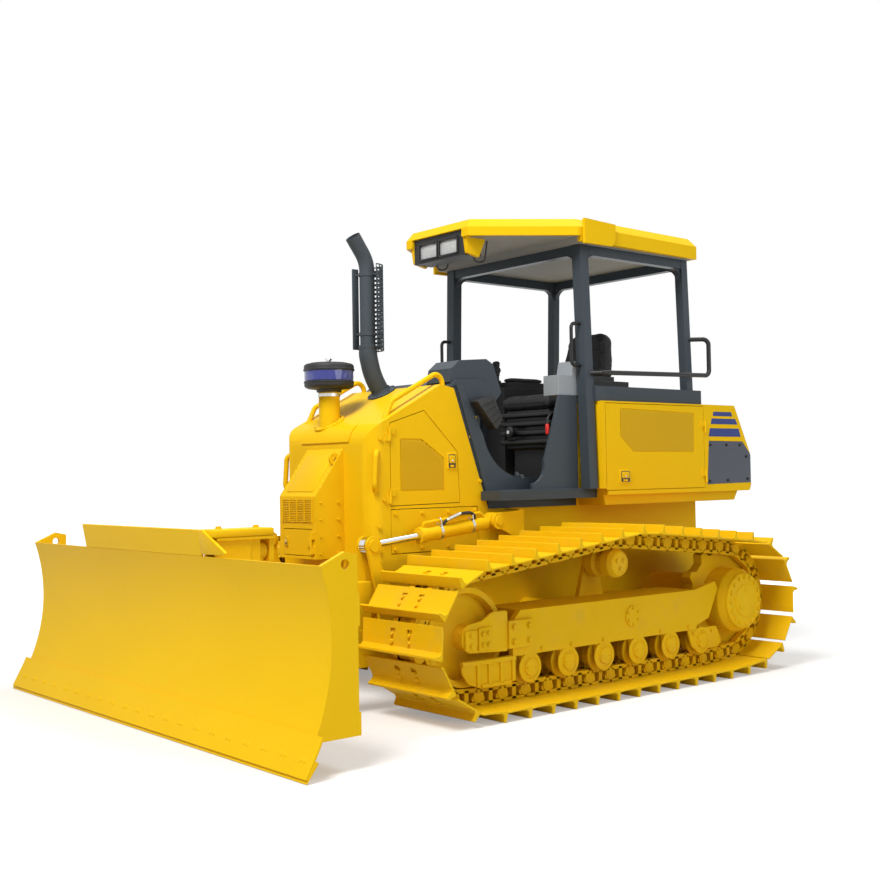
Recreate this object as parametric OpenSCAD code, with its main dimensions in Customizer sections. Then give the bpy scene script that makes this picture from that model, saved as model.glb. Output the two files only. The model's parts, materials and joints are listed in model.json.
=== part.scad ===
// Track-laying bulldozer with a canopy and a straight blade that lifts, angles and tilts.
// +X points forward, +Y to the machine's left, +Z up. The ground is at z = 0.
// Stations along X count from the middle of the machine's wheelbase.
// frame() moves them so that the origin lies under the middle of the whole machine.

/* [Tracks] */
// Width of a shoe
shoe_w = 650; // [560:10:660]
// Number of shoes in one loop
shoe_count = 38; // [36:1:40]
// Nominal pitch of the chain
link_pitch = 169; // [160:1:176]
// Height of the bar on a shoe
grouser_h = 48; // [30:1:60]
// Thickness of a shoe's plate
shoe_t = 10; // [8:1:16]
// Height of a link above its pin, to the tread that the wheels run on
link_in = 43; // [38:1:50]
// Depth of a link below its pin, to the shoe
link_out = 45; // [38:1:50]
// Station of the front idler
idler_x = 1185; // [1150:5:1230]
// Tread radius of the front idler
idler_r = 260; // [240:5:280]
// Station of the sprocket
sprocket_x = -1038; // [-1080:1:-1000]
// Rise of the sprocket's pitch circle over the chain's bottom run
sprocket_lift = 15.5; // [10:0.5:30]
// Radius of the final drive's cover as a share of the sprocket's pitch circle
hub_share = 0.536; // [0.5:0.001:0.56]
// Teeth that take the chain on one sprocket
sprocket_teeth = 12; // [11:1:13]
// Tread radius of a bottom roller
roller_r = 78; // [70:1:84]
// Bottom rollers a side
roller_count = 6; // [5:1:6]
// Station of the rearmost bottom roller
roller_rear_x = -690; // [-720:5:-660]
// Station of the foremost bottom roller
roller_front_x = 775; // [740:5:800]
// Radius of the carrier roller
carrier_r = 85; // [75:1:95]
// Station of the carrier roller
carrier_x = 10; // [-60:5:80]
// Height of the carrier roller's centre
carrier_z = 735; // [715:1:750]

/* [Track frames] */
// Width of a track frame
frame_w = 300; // [260:5:310]
// Underside of a track frame
frame_z0 = 296; // [290:1:310]
// Top of a track frame
frame_z1 = 537; // [520:1:550]
// Front end of a track frame's box
frame_x1 = 905; // [880:5:910]
// Rear end of a track frame's box
frame_x0 = -640; // [-660:5:-620]

/* [Main frame] */
// Width of the main frame and the hood
hull_w = 880; // [820:5:890]
// Room for a push arm between the main frame and a track
arm_bay = 175; // [165:5:200]
// Underside of the main frame
hull_z0 = 330; // [300:5:360]
// Top of the main frame under the engine
engine_deck_z = 790; // [770:5:810]
// Top of the main frame under the platform
rear_deck_z = 1060; // [1040:5:1070]
// Rear end of the main frame
hull_rear_x = -1480; // [-1520:10:-1440]
// Front end of the main frame and the hood
hull_front_x = 1345; // [1330:5:1360]

/* [Hood] */
// Thickness of the hood's skin
hood_t = 12; // [8:1:16]
// Station where the main frame steps down to the engine
hood_rear_x = 475; // [470:1:490]
// Radius of the hood's front corners
hood_corner_r = 90; // [60:5:120]
// Height of the hood's highest point
hood_top_z = 1792; // [1760:2:1810]
// Width of the front grille box
grille_w = 366; // [340:2:380]
// Front face of the grille box
grille_front_x = 1540; // [1520:2:1550]
// Gap round a door or a panel
panel_gap = 4; // [3:0.5:6]

/* [Platform and canopy] */
// Top of the floor
floor_z = 1165; // [1150:5:1180]
// Half width of the platform
platform_y = 620; // [600:5:640]
// Width and depth of a front post of the canopy
post_w = 72; // [64:1:80]
// Width and depth of a rear post
rear_post_w = 60; // [54:1:70]
// Station of the front posts
post_front_x = -185; // [-200:5:-170]
// Station of the rear posts
post_rear_x = -1170; // [-1200:5:-1150]
// Half spacing of the posts at the roof
post_top_y = 600; // [580:5:620]
// Half spacing of the posts at their feet
post_foot_y = 650; // [640:5:660]
// Underside of the roof
roof_z0 = 2690; // [2660:5:2720]
// Height of the roof over its underside
roof_h = 140; // [130:5:160]

/* [Rear body] */
// Half width of the rear body
rear_y = 715; // [700:5:730]
// Underside of the rear body
rear_z0 = 1125; // [1115:5:1130]
// Top of the rear body
rear_z1 = 1710; // [1680:5:1730]
// Rear end of the rear body
rear_x0 = -1750; // [-1800:10:-1720]
// Half width of the well that the seat stands in
seat_well_y = 330; // [310:5:340]
// Depth of the lockers behind the side panels
locker_d = 150; // [100:5:200]

/* [Blade] */
// Width of the cutting edge
edge_w = 3220; // [3100:10:3260]
// Width of the mouldboard
board_w = 3110; // [3000:10:3120]
// Height of the mouldboard's top edge
board_top_z = 889; // [860:1:900]
// Station of the mouldboard's top edge
board_top_x = 2446; // [2440:1:2452]
// Station of the mouldboard's bottom edge
board_low_x = 2520; // [2510:1:2530]
// Depth of the mouldboard's curve
board_sag = 85; // [70:1:95]
// Thickness of the mouldboard's plate
board_t = 16; // [12:1:20]
// Clearance of the cutting edge over the ground
edge_clear = 4; // [2:1:10]
// Thickness of the cutting edge
edge_t = 19; // [16:1:24]

/* [Blade gear] */
// Station of the C-frame's pivots
lift_x = 500; // [495:1:505]
// Height of the C-frame's pivots
lift_z = 400; // [395:1:405]
// Gap between the main frame and a push arm
arm_gap = 30; // [25:1:40]
// Thickness of a push arm
arm_w = 90; // [70:2:96]
// Station of the swivel behind the blade
swivel_x = 2000; // [1990:1:2010]
// Distance of an angle cylinder's rod eye from the middle
angle_eye_y = 380; // [370:1:390]
// Distance of the tilt cylinder from the middle
tilt_y = 600; // [590:1:610]
// Radius of the lift cylinders' barrels
lift_barrel_r = 46; // [40:1:47]
// Radius of the lift rods
lift_rod_r = 21; // [18:1:22]
// Radius of the pins in the lift cylinders
lift_pin_r = 28; // [22:1:30]
// Running clearance of pins and rods
run_gap = 0.05; // [0.03:0.01:0.1]

/* [Hidden] */
$fn = 48;

yellow = "#f5b800";
dark = "#3b4044";
black = "#1e1f21";
steel = "#b9bcc0";

// Running gap between the chain and the wheels that carry it
seat_gap = 0.3;
// Amount by which a cut runs past the face that it opens
past = 5;

// Track geometry

track_y = hull_w / 2 + arm_bay + shoe_w / 2;
arm_y = hull_w / 2 + arm_gap + arm_w / 2;
pitch_z = grouser_h + shoe_t + link_out;
roller_z = pitch_z + link_in + roller_r + seat_gap;
// A straight link stands off a round wheel by its sagitta
idler_wrap = idler_r + link_in + pow(link_pitch, 2) / (8 * (idler_r + link_in)) + seat_gap;
idler_z = pitch_z + idler_wrap;
sprocket_wrap = link_pitch / (2 * sin(180 / sprocket_teeth));
sprocket_z = pitch_z + sprocket_wrap + sprocket_lift;
rail_gap = 50;
rail_w = 40;
wheel_half = 115;
// Distance behind the last roller where the chain leaves the ground
rise_back = 90;
fork_t = 30;

// The chain wraps these circles in turn, each given as x, z and radius
wraps = [
    [idler_x, idler_z, idler_wrap],
    [carrier_x, carrier_z, carrier_r + link_in + 6],
    [sprocket_x, sprocket_z, sprocket_wrap],
    [roller_rear_x - rise_back, roller_z, roller_r + link_in + seat_gap]
];
wrap_n = len(wraps);

// Angle of the outward normal on the straight run from one circle to the next
function run_normal(a, b) =
    let (d = [b.x - a.x, b.y - a.y])
    atan2(d.y, d.x) - acos((a.z - b.z) / norm(d));

function run_length(a, b) = sqrt(pow(b.x - a.x, 2) + pow(b.y - a.y, 2) - pow(a.z - b.z, 2));

normals = [for (i = [0:wrap_n - 1]) run_normal(wraps[i], wraps[(i + 1) % wrap_n])];
runs = [for (i = [0:wrap_n - 1]) run_length(wraps[i], wraps[(i + 1) % wrap_n])];
turns = [for (i = [0:wrap_n - 1]) (normals[i] - normals[(i + wrap_n - 1) % wrap_n] + 720) % 360];
arcs = [for (i = [0:wrap_n - 1]) wraps[i].z * turns[i] * PI / 180];

function total(v, i = 0) = i == len(v) ? 0 : v[i] + total(v, i + 1);

loop_length = total(runs) + total(arcs);

// Point on the chain's pitch line at a distance s along it
function on_chain(s, i = 0) =
    let (c = wraps[i], from = normals[(i + wrap_n - 1) % wrap_n])
    s < arcs[i] ? let (a = from + s / c.z * 180 / PI) [c.x + c.z * cos(a), c.y + c.z * sin(a)]
    : s < arcs[i] + runs[i] ? let (t = s - arcs[i], a = normals[i])
        [c.x + c.z * cos(a) - t * sin(a), c.y + c.z * sin(a) + t * cos(a)]
    : on_chain(s - arcs[i] - runs[i], i + 1);

pins = [for (k = [0:shoe_count - 1]) on_chain((k + 0.5) * loop_length / shoe_count)];

// Outline helpers

function unit(v) = v / norm(v);

function left_of(a, b) = let (t = unit(b - a)) [-t.y, t.x];

// Moves each edge of a convex outline, listed anticlockwise, inwards by d
function inset(p, d) = [
    for (i = [0:len(p) - 1])
        let (n0 = left_of(p[(i + len(p) - 1) % len(p)], p[i]), n1 = left_of(p[i], p[(i + 1) % len(p)]))
        p[i] + d * (n0 + n1) / (1 + n0 * n1)
];

function mirrored(p) = [for (i = [len(p) - 1:-1:0]) [p[i].x, -p[i].y]];

// Sweeps an outline in x and z across the machine, from y0 to y1
module across(y0, y1) {
    translate([0, y1, 0])
        rotate([90, 0, 0])
            linear_extrude(y1 - y0)
                children();
}

// Raises an outline in x and y from z0 to z1
module upward(z0, z1) {
    translate([0, 0, z0])
        linear_extrude(z1 - z0)
            children();
}

module both_sides() {
    children();
    mirror([0, 1, 0])
        children();
}

module box(x, y, z) {
    translate([x[0], y[0], z[0]])
        cube([x[1] - x[0], y[1] - y[0], z[1] - z[0]]);
}

// Round bar across the machine
module cross_bar(x, z, r, y0, y1) {
    translate([x, y0, z])
        rotate([-90, 0, 0])
            cylinder(h = y1 - y0, r = r);
}

// Round bar between two points
module rod_between(a, b, r) {
    v = b - a;
    translate(a)
        rotate([0, acos(v.z / norm(v)), atan2(v.y, v.x)])
            cylinder(h = norm(v), r = r);
}

// An elbow is this much fatter than its tube, and takes this length of it
elbow_lip = 0.4;
elbow_seat = 2;

// Tube through a list of points, with an arc of radius bend at each corner
module tube_path(points, r, bend) {
    last = len(points) - 1;
    heading = [for (i = [0:last - 1]) unit(points[i + 1] - points[i])];
    // Length that a corner's arc takes from the straight runs beside it
    trim = [for (i = [0:last]) i == 0 || i == last ? 0 : bend * tan(acos(heading[i - 1] * heading[i]) / 2)];
    // Each straight run reaches a little into the elbow beside it
    for (i = [0:last - 1])
        rod_between(points[i] + heading[i] * (i == 0 ? 0 : trim[i] - elbow_seat),
                    points[i + 1] - heading[i] * (i == last - 1 ? 0 : trim[i + 1] - elbow_seat), r);
    for (i = [1:last - 1]) {
        d = heading[i - 1];
        inward = unit(heading[i] - d * (d * heading[i]));
        up = cross(-inward, d);
        c = points[i] - d * trim[i] + inward * bend;
        multmatrix([
            [-inward.x, d.x, up.x, c.x], [-inward.y, d.y, up.y, c.y], [-inward.z, d.z, up.z, c.z],
            [0, 0, 0, 1]
        ])
            rotate_extrude(angle = acos(d * heading[i]))
                translate([bend, 0])
                    circle(r = r + elbow_lip);
    }
}

module frame() {
    translate([-mid_x, 0, 0])
        children();
}

// Undercarriage

// Side view of a shoe: u runs with the chain, v points outwards from the pins
module shoe_outline(length) {
    half = length / 2;
    polygon([
        [-half + 3, link_out], [half + 1, link_out], [half + 1, link_out + shoe_t],
        [-half + 42, link_out + shoe_t], [-half + 26, link_out + shoe_t + grouser_h],
        [-half + 14, link_out + shoe_t + grouser_h], [-half + 3, link_out + shoe_t]
    ]);
}

module track_left() {
    color(yellow)
        translate([0, track_y, 0]) {
            for (k = [0:shoe_count - 1]) {
                a = pins[k];
                b = pins[(k + 1) % shoe_count];
                mid = (a + b) / 2;
                across(-shoe_w / 2, shoe_w / 2)
                    translate(mid)
                        rotate(atan2(b.y - a.y, b.x - a.x))
                            mirror([0, 1])
                                shoe_outline(norm(b - a));
            }
            outer = inset(pins, -link_out - shoe_t / 2);
            inner = inset(pins, link_in);
            for (side = [-1, 1])
                translate([0, side * (rail_gap + rail_w / 2), 0])
                    across(-rail_w / 2, rail_w / 2)
                        polygon(concat(outer, inner),
                            [[for (i = [0:shoe_count - 1]) i],
                            [for (i = [0:shoe_count - 1]) i + shoe_count]]);
        }
}

module track_right() {
    mirror([0, 1, 0])
        track_left();
}

module track_frame() {
    y0 = track_y - frame_w / 2;
    y1 = track_y + frame_w / 2;
    bevel = 60;
    difference() {
        across(y0, y1)
            polygon([
                [frame_x0, frame_z0], [frame_x1, frame_z0], [frame_x1, frame_z1 - bevel],
                [frame_x1 - bevel, frame_z1], [frame_x0, frame_z1]
            ]);
        // Channel that the bottom rollers run in
        box([frame_x0 - past, frame_x1 + past], [track_y - wheel_half, track_y + wheel_half],
            [frame_z0 - past, roller_z + roller_r + 40]);
        // Slot that the idler's yoke slides in
        box([frame_x1 - 60, frame_x1 + past], [track_y - wheel_half, track_y + wheel_half],
            [frame_z0 - past, frame_z1 + past]);
    }
    // Fork arms that carry the idler
    for (side = [-1, 1])
        across(track_y + side * (wheel_half + fork_t / 2) - fork_t / 2,
               track_y + side * (wheel_half + fork_t / 2) + fork_t / 2)
            polygon([
                [frame_x1 - past, idler_z - 60], [idler_x + 40, idler_z - 60],
                [idler_x + 70, idler_z - 30], [idler_x + 70, idler_z + 30], [idler_x + 40, idler_z + 60],
                [frame_x1 - past, idler_z + 60]
            ]);
    // Hangers under the frame for the bottom rollers' shafts
    for (i = [0:roller_count - 1])
        for (side = [-1, 1])
            across(track_y + side * (wheel_half + 13) - 13, track_y + side * (wheel_half + 13) + 13)
                translate([roller_at(i), 0])
                    polygon([
                        [-60, frame_z0 + past], [-45, roller_z - 30], [45, roller_z - 30],
                        [60, frame_z0 + past]
                    ]);
    // Round cover on the outer face, and the guard towards the sprocket
    cross_bar(-52, 427, 62, y1 - 1, y1 + 8);
    across(y1 - 26, y1)
        polygon([
            [frame_x0 + 10, frame_z0 + 20], [frame_x0 + 10, frame_z1], [frame_x0 - 190, frame_z1 + 40],
            [frame_x0 - 215, frame_z1 - 10], [frame_x0 - 120, frame_z0 + 60]
        ]);
    // Block that guides the idler's fork
    box([frame_x1 - 130, frame_x1 + 45], [y1 - 6, y1 + 22], [idler_z - 75, idler_z + 70]);
    // Pedestal of the carrier roller, inboard of it
    across(track_y - wheel_half - fork_t, track_y - wheel_half) {
        polygon([
            [carrier_x - 110, frame_z1 - past], [carrier_x + 110, frame_z1 - past],
            [carrier_x + 45, carrier_z], [carrier_x - 45, carrier_z]
        ]);
        translate([carrier_x, carrier_z])
            circle(r = 45);
    }
}

function roller_at(i) =
    roller_rear_x + i * (roller_front_x - roller_rear_x) / (roller_count - 1);

module track_frames() {
    color(yellow)
        both_sides()
            track_frame();
}

// Wheel turned about the Y axis from a half profile of radius and offset
module turned(x, y, z) {
    translate([x, y, z])
        rotate([-90, 0, 0])
            rotate_extrude()
                children();
}

module idlers() {
    rim = rail_gap + rail_w;
    color(yellow)
        both_sides()
            turned(idler_x, track_y, idler_z)
                polygon([
                    [0, -wheel_half], [70, -wheel_half], [70, -60], [150, -40], [idler_r - 40, -40],
                    [idler_r - 30, -rim], [idler_r, -rim], [idler_r, -rail_gap + 6],
                    [idler_r + 22, -rail_gap + 14], [idler_r + 22, rail_gap - 14], [idler_r, rail_gap - 6],
                    [idler_r, rim], [idler_r - 30, rim], [idler_r - 40, 40], [150, 40], [70, 60],
                    [70, wheel_half], [0, wheel_half]
                ]);
}

module track_rollers() {
    rim = rail_gap + rail_w;
    color(yellow)
        both_sides()
            for (i = [0:roller_count - 1])
                turned(roller_at(i), track_y, roller_z)
                    polygon([
                        [0, -wheel_half], [32, -wheel_half], [40, -rim - 16], [roller_r + 15, -rim - 14],
                        [roller_r + 15, -rim - 2], [roller_r, -rim - 1], [roller_r, -rail_gap + 8],
                        [58, -20], [58, 20], [roller_r, rail_gap - 8], [roller_r, rim + 1],
                        [roller_r + 15, rim + 2], [roller_r + 15, rim + 14], [40, rim + 16],
                        [32, wheel_half], [0, wheel_half]
                    ]);
}

module carrier_rollers() {
    rim = rail_gap + rail_w;
    color(yellow)
        both_sides()
            turned(carrier_x, track_y, carrier_z)
                polygon([
                    [0, -wheel_half], [38, -wheel_half], [38, -rim - 6], [carrier_r, -rim],
                    [carrier_r, -34], [66, -20], [66, 20], [carrier_r, 34], [carrier_r, rim],
                    [carrier_r - 14, rim + 26], [60, rim + 32], [56, rim + 28], [0, rim + 28]
                ]);
}

module sprockets() {
    root = sprocket_wrap - 28;
    tip = sprocket_wrap + 16;
    step = 360 / sprocket_teeth;
    color(yellow)
        both_sides()
            translate([sprocket_x, 0, sprocket_z])
                across(track_y - 32, track_y + 32)
                    difference() {
                        polygon([
                            for (i = [0:sprocket_teeth - 1],
                                p = [[-0.28, root], [-0.1, tip], [0.1, tip], [0.28, root]])
                                [p[1] * cos((i + p[0]) * step), p[1] * sin((i + p[0]) * step)]
                        ]);
                        circle(r = hub_r + 25 + seat_gap);
                    }
}

hub_r = sprocket_wrap * hub_share;
hub_face_y = track_y + 220;

module final_drives() {
    color(yellow)
        both_sides()
            turned(sprocket_x, 0, sprocket_z)
                polygon([
                    [0, hull_w / 2], [150, hull_w / 2], [150, track_y - 210], [hub_r + 25, track_y - 150],
                    [hub_r + 25, hub_face_y - 60], [hub_r, hub_face_y - 20], [hub_r, hub_face_y - 8],
                    [hub_r - 10, hub_face_y], [0, hub_face_y]
                ]);
}

// Main frame

lift_rear = [499, 990];
lug_t = 20;
lug_gap = 27;

module main_frame() {
    half = hull_w / 2;
    color(yellow) {
        across(-half, half)
            polygon([
                [hull_rear_x + 180, hull_z0], [hull_front_x - 190, hull_z0], [hull_front_x, hull_z0 + 190],
                [hull_front_x, engine_deck_z], [hood_rear_x, engine_deck_z], [hood_rear_x, rear_deck_z],
                [hull_rear_x, rear_deck_z], [hull_rear_x, hull_z0 + 150]
            ]);
        both_sides() {
            // Cross tubes that carry the track frames
            for (x = [-450, 170])
                cross_bar(x, frame_z0 + 130, 85, half - past, track_y - frame_w / 2);
            // Trunnion of the push arm
            cross_bar(lift_x, lift_z, 120, half - past, arm_y - arm_w / 2 - past);
            cross_bar(lift_x, lift_z, arm_pin_r, half, arm_y + arm_w / 2 + 12);
            cross_bar(lift_x, lift_z, arm_pin_r + 22, arm_y + arm_w / 2 + 5, arm_y + arm_w / 2 + 12);
            // Bracket of the lift cylinder
            for (y = [arm_y - lug_gap - lug_t, arm_y + lug_gap])
                across(y, y + lug_t) {
                    polygon([
                        [lift_rear.x - 190, rear_deck_z - 200], [lift_rear.x - 20, lift_rear.y - 50],
                        [lift_rear.x + 50, lift_rear.y], [lift_rear.x, lift_rear.y + 50],
                        [lift_rear.x - 190, rear_deck_z - 10]
                    ]);
                    translate(lift_rear)
                        circle(r = 50);
                }
            box([lift_rear.x - 200, lift_rear.x - 160], [half - past, arm_y + lug_gap + lug_t],
                [rear_deck_z - 210, rear_deck_z - 5]);
            cross_bar(lift_rear.x, lift_rear.y, lift_pin_r, arm_y - lug_gap - past,
                arm_y + lug_gap + lug_t + 8);
        }
    }
}

arm_pin_r = 55;

module engine_block() {
    color(dark)
        box([620, 1180], [-270, 270], [engine_deck_z, 1390]);
}

// Hood

// Rear end of the hood's top
hood_back = [731, hood_top_z - 20];
// Crest of the hood, and the direction that its top falls away from it to the front
hood_crest = [830, hood_top_z];
hood_fall = unit([390, -204]);
hood_up = [-hood_fall.y, hood_fall.x];
// Round nose between the front face and the top
nose_r = 140;
nose_c = [
    hull_front_x - nose_r, (hood_up * hood_crest - nose_r - hood_up.x * (hull_front_x - nose_r)) / hood_up.y
];
nose_turn = atan2(hood_up.y, hood_up.x);
hood_outline = concat(
    [[hood_rear_x, engine_deck_z], [hull_front_x, engine_deck_z]],
    [for (i = [0:10]) nose_c + nose_r * [cos(nose_turn * i / 10), sin(nose_turn * i / 10)]],
    [hood_crest, hood_back, [hood_rear_x, rear_deck_z]]
);
door_front_x = 1205;
side_panel_x = [560, door_front_x];
side_panel_z = [engine_deck_z + 40, 1075];
door_outline = [[700, 1105], [door_front_x, 1098], [door_front_x, 1560], [960, 1634], [715, 1400]];
side_panel_outline = [
    [side_panel_x[0], side_panel_z[0]], [side_panel_x[1], side_panel_z[0]],
    [side_panel_x[1], side_panel_z[1]], [side_panel_x[0], side_panel_z[1]]
];
door_hinge = [door_front_x + 9, hull_w / 2 + 8];
knuckle_r = 7;
knuckle_l = 40;
door_knuckles = [1150, 1500];
door_field = [[812, 1177], [1137, 1177], [1137, 1474], [981, 1474], [812, 1363]];

module hood_plan(shrink) {
    half = hull_w / 2 - shrink;
    front = hull_front_x - shrink;
    r = hood_corner_r - shrink;
    translate([hood_rear_x - 1, -half])
        square([front - r - hood_rear_x + 1, 2 * half]);
    translate([hood_rear_x - 1, -half + r])
        square([front - hood_rear_x + 1, 2 * half - 2 * r]);
    for (side = [-1, 1])
        translate([front - r, side * (half - r)])
            circle(r = r);
}

// Knuckles and leaf of a hinge with an upright axis, at heights from a list.
// The leaf lies on its own panel from leaf_x to edge_x, and stands off the other one beyond that.
module hinge_half(axis, heights, length, leaf_x, edge_x, face_y) {
    for (z = heights) {
        translate([axis.x, axis.y, z])
            cylinder(h = length, r = knuckle_r);
        box([min(leaf_x, edge_x), max(leaf_x, edge_x)], [face_y - 1, axis.y], [z, z + length]);
        if (edge_x != axis.x)
            box([min(edge_x, axis.x), max(edge_x, axis.x)], [face_y + 1, axis.y], [z, z + length]);
    }
}

module hood_shell() {
    half = hull_w / 2;
    color(yellow)
        difference() {
            union() {
                intersection() {
                    across(-half, half)
                        polygon(hood_outline);
                    upward(engine_deck_z, hood_top_z)
                        hood_plan(0);
                }
                both_sides()
                    hinge_half(door_hinge, [for (z = door_knuckles) z - knuckle_l - seat_gap], knuckle_l,
                        door_front_x + 40, door_hinge.x, half);
            }
            intersection() {
                across(-half, half)
                    polygon(inset(hood_outline, hood_t));
                upward(engine_deck_z - past, hood_top_z)
                    hood_plan(hood_t);
            }
            // Open bottom over the engine
            upward(engine_deck_z - past, engine_deck_z + 2 * hood_t)
                intersection() {
                    hood_plan(hood_t);
                    translate([hood_rear_x + hood_t, -half])
                        square([hull_front_x, 2 * half]);
                }
            // Door and panel openings
            both_sides() {
                across(half - hood_t - past, half + past)
                    polygon(inset(door_outline, -panel_gap));
                across(half - hood_t - past, half + past)
                    polygon(inset(side_panel_outline, -panel_gap));
            }
            // Air opening behind the grille box
            box([hull_front_x - 2 * hood_t, hull_front_x + past], [-grille_w / 2 + 30, grille_w / 2 - 30],
                [engine_deck_z + 60, 1350]);
        }
}

// Depth of the field round a grille, and the height and spacing of its slots
field_sink = 4;
slot_h = 9;
slot_pitch = 19;

// Panel with a sunk field and the slots of a grille, each slot given as its two ends and its height
module louvred(outline, field, slots, y0, y1) {
    difference() {
        across(y0, y1)
            polygon(outline);
        across(y1 - field_sink, y1 + past)
            polygon(field);
        for (s = slots)
            across(y0 - past, y1 + past)
                polygon([[s[0], s[2]], [s[1], s[2]], [s[1], s[2] + slot_h], [s[0], s[2] + slot_h]]);
    }
}

module engine_door_left() {
    half = hull_w / 2;
    color(yellow) {
        louvred(door_outline, door_field,
            [for (z = [door_field[0].y + 14:slot_pitch:door_field[3].y - 14])
                [door_field[0].x + 14 + max(0, z - door_field[4].y) * 1.5, door_field[1].x - 14, z]],
            half - hood_t, half);
        hinge_half(door_hinge, door_knuckles, knuckle_l, door_front_x - 30, door_front_x, half);
    }
}

module engine_door_right() {
    mirror([0, 1, 0])
        engine_door_left();
}

module hood_side_panels() {
    half = hull_w / 2;
    color(yellow)
        both_sides() {
            across(half - hood_t, half)
                polygon(side_panel_outline);
            // Tabs behind the skin that the panel is bolted to
            for (x = [side_panel_x[0] + 40, side_panel_x[1] - 80])
                box([x, x + 40], [half - 2 * hood_t, half - hood_t], [engine_deck_z, side_panel_z[1] + 15]);
        }
}

grille_outline = [
    [hull_front_x, engine_deck_z + 15], [grille_front_x, engine_deck_z + 15], [grille_front_x, 1157],
    [hull_front_x, 1425]
];
access_y = 140;
access_z = [engine_deck_z + 35, engine_deck_z + 180];
access_hinge = [grille_front_x + 9, access_y + 8];
access_knuckle_z = access_z[0] + 50;

module front_grille() {
    half = grille_w / 2;
    color(yellow) {
        difference() {
            across(-half, half)
                polygon(grille_outline);
            across(-half + hood_t, half - hood_t)
                polygon([
                    [hull_front_x - past, engine_deck_z + 27],
                    [grille_front_x - hood_t, engine_deck_z + 27], [grille_front_x - hood_t, 1150],
                    [hull_front_x - past, 1410]
                ]);
            // Louvres in the upright face
            for (i = [0:4])
                box([grille_front_x - 2 * hood_t, grille_front_x + past], [-half + 30, half - 30],
                    [1020 + i * 24, 1032 + i * 24]);
            // Access opening
            box([grille_front_x - 2 * hood_t, grille_front_x + past],
                [-access_y - panel_gap, access_y + panel_gap],
                [access_z[0] - panel_gap, access_z[1] + panel_gap]);
        }
        // Knuckles above and below the door's own
        for (z = [access_knuckle_z - knuckle_l - seat_gap, access_knuckle_z + knuckle_l + seat_gap])
            access_knuckle(z, knuckle_l, half - 10, access_y + panel_gap + 1);
    }
}

// Knuckle on the grille box's face, with a leaf that lies on its panel up to edge_y
module access_knuckle(z, length, leaf_y, edge_y) {
    translate([access_hinge.x, access_hinge.y, z])
        cylinder(h = length, r = knuckle_r);
    box([grille_front_x - 1, access_hinge.x], [min(leaf_y, edge_y), max(leaf_y, edge_y)], [z, z + length]);
    box([grille_front_x + 1, access_hinge.x], [min(edge_y, access_hinge.y), max(edge_y, access_hinge.y)],
        [z, z + length]);
}

module front_access_door() {
    color(yellow) {
        box([grille_front_x - hood_t, grille_front_x], [-access_y, access_y], access_z);
        access_knuckle(access_knuckle_z, knuckle_l, access_y - 30, access_y);
    }
}

exhaust_base = [900, -60, 1760];
exhaust_elbow = [980, -60, 1920];
exhaust_top = [980, -60, 2590];
exhaust_r = 45;

module exhaust_stack() {
    color(dark) {
        difference() {
            union() {
                tube_path([exhaust_base - [40, 0, 80], exhaust_elbow, exhaust_top,
                    exhaust_top + [60, 0, 110]], exhaust_r, 90);
                // Flange on the slope of the hood
                rod_between(exhaust_base + [-10, 0, -22], exhaust_base + [6, 0, 10], 80);
            }
            // Open mouth
            rod_between(exhaust_top + [30, 0, 55], exhaust_top + [90, 0, 165], exhaust_r - 6);
            // Seat on the hood's slope
            across(-hull_w / 2, hull_w / 2)
                polygon(hood_outline);
        }
    }
}

module exhaust_guard() {
    x = exhaust_top.x - exhaust_r - 12;
    low = exhaust_elbow.z + 90;
    high = exhaust_top.z - 60;
    pitch = 32;
    color(dark)
        difference() {
            union() {
                box([x - 4, x], [exhaust_top.y - 45, exhaust_top.y + 45], [low, high]);
                // Straps to the pipe
                for (z = [low + 60, high - 90])
                    box([x - 1, x + 40], [exhaust_top.y - 30, exhaust_top.y + 30], [z, z + 30]);
            }
            translate([exhaust_top.x, exhaust_top.y, low])
                cylinder(h = high - low, r = exhaust_r + seat_gap);
            for (z = [low + 16:pitch:high - 16], side = [-1, 1])
                translate([x - 10, exhaust_top.y + side * 34, z])
                    rotate([0, 90, 0])
                        cylinder(h = 20, r = 8, $fn = 16);
        }
}

cleaner = [1240, -100];

module pre_cleaner() {
    color(black)
        difference() {
            translate([cleaner.x, cleaner.y, 1500])
                rotate_extrude()
                    polygon([
                        [0, 0], [62, 0], [62, 250], [66, 250], [66, 285], [138, 285], [142, 330],
                        [150, 345], [150, 415], [140, 425], [120, 436], [0, 440]
                    ]);
            across(-hull_w / 2, hull_w / 2)
                polygon(hood_outline);
        }
}

module hood_rails() {
    r = 15;
    rail_y = hull_w / 2 - 55;
    grab_y = hull_w / 2 + 10;
    color(yellow)
        both_sides() {
            difference() {
                tube_path([
                    [1215, rail_y, 1560], [1150, rail_y, 1690], [780, rail_y, 1880], [770, rail_y, 1740]
                ], r, 50);
                across(-hull_w / 2, hull_w / 2)
                    polygon(hood_outline);
            }
            difference() {
                tube_path([
                    [1260, rail_y, 1190], [1330, grab_y, 1190], [1315, grab_y, 1400], [1245, rail_y, 1400]
                ], r, 35);
                upward(engine_deck_z, hood_top_z)
                    hood_plan(0);
            }
        }
}

// Operator's place

cowl_t = 70;

// Gap between the dash and the hood
dash_gap = 1;

// Station of the dash's front face at a height, just behind the hood
function dash_front_x(z) =
    hood_rear_x + (z - rear_deck_z) * (hood_back.x - hood_rear_x) / (hood_back.y - rear_deck_z) - dash_gap;

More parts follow.
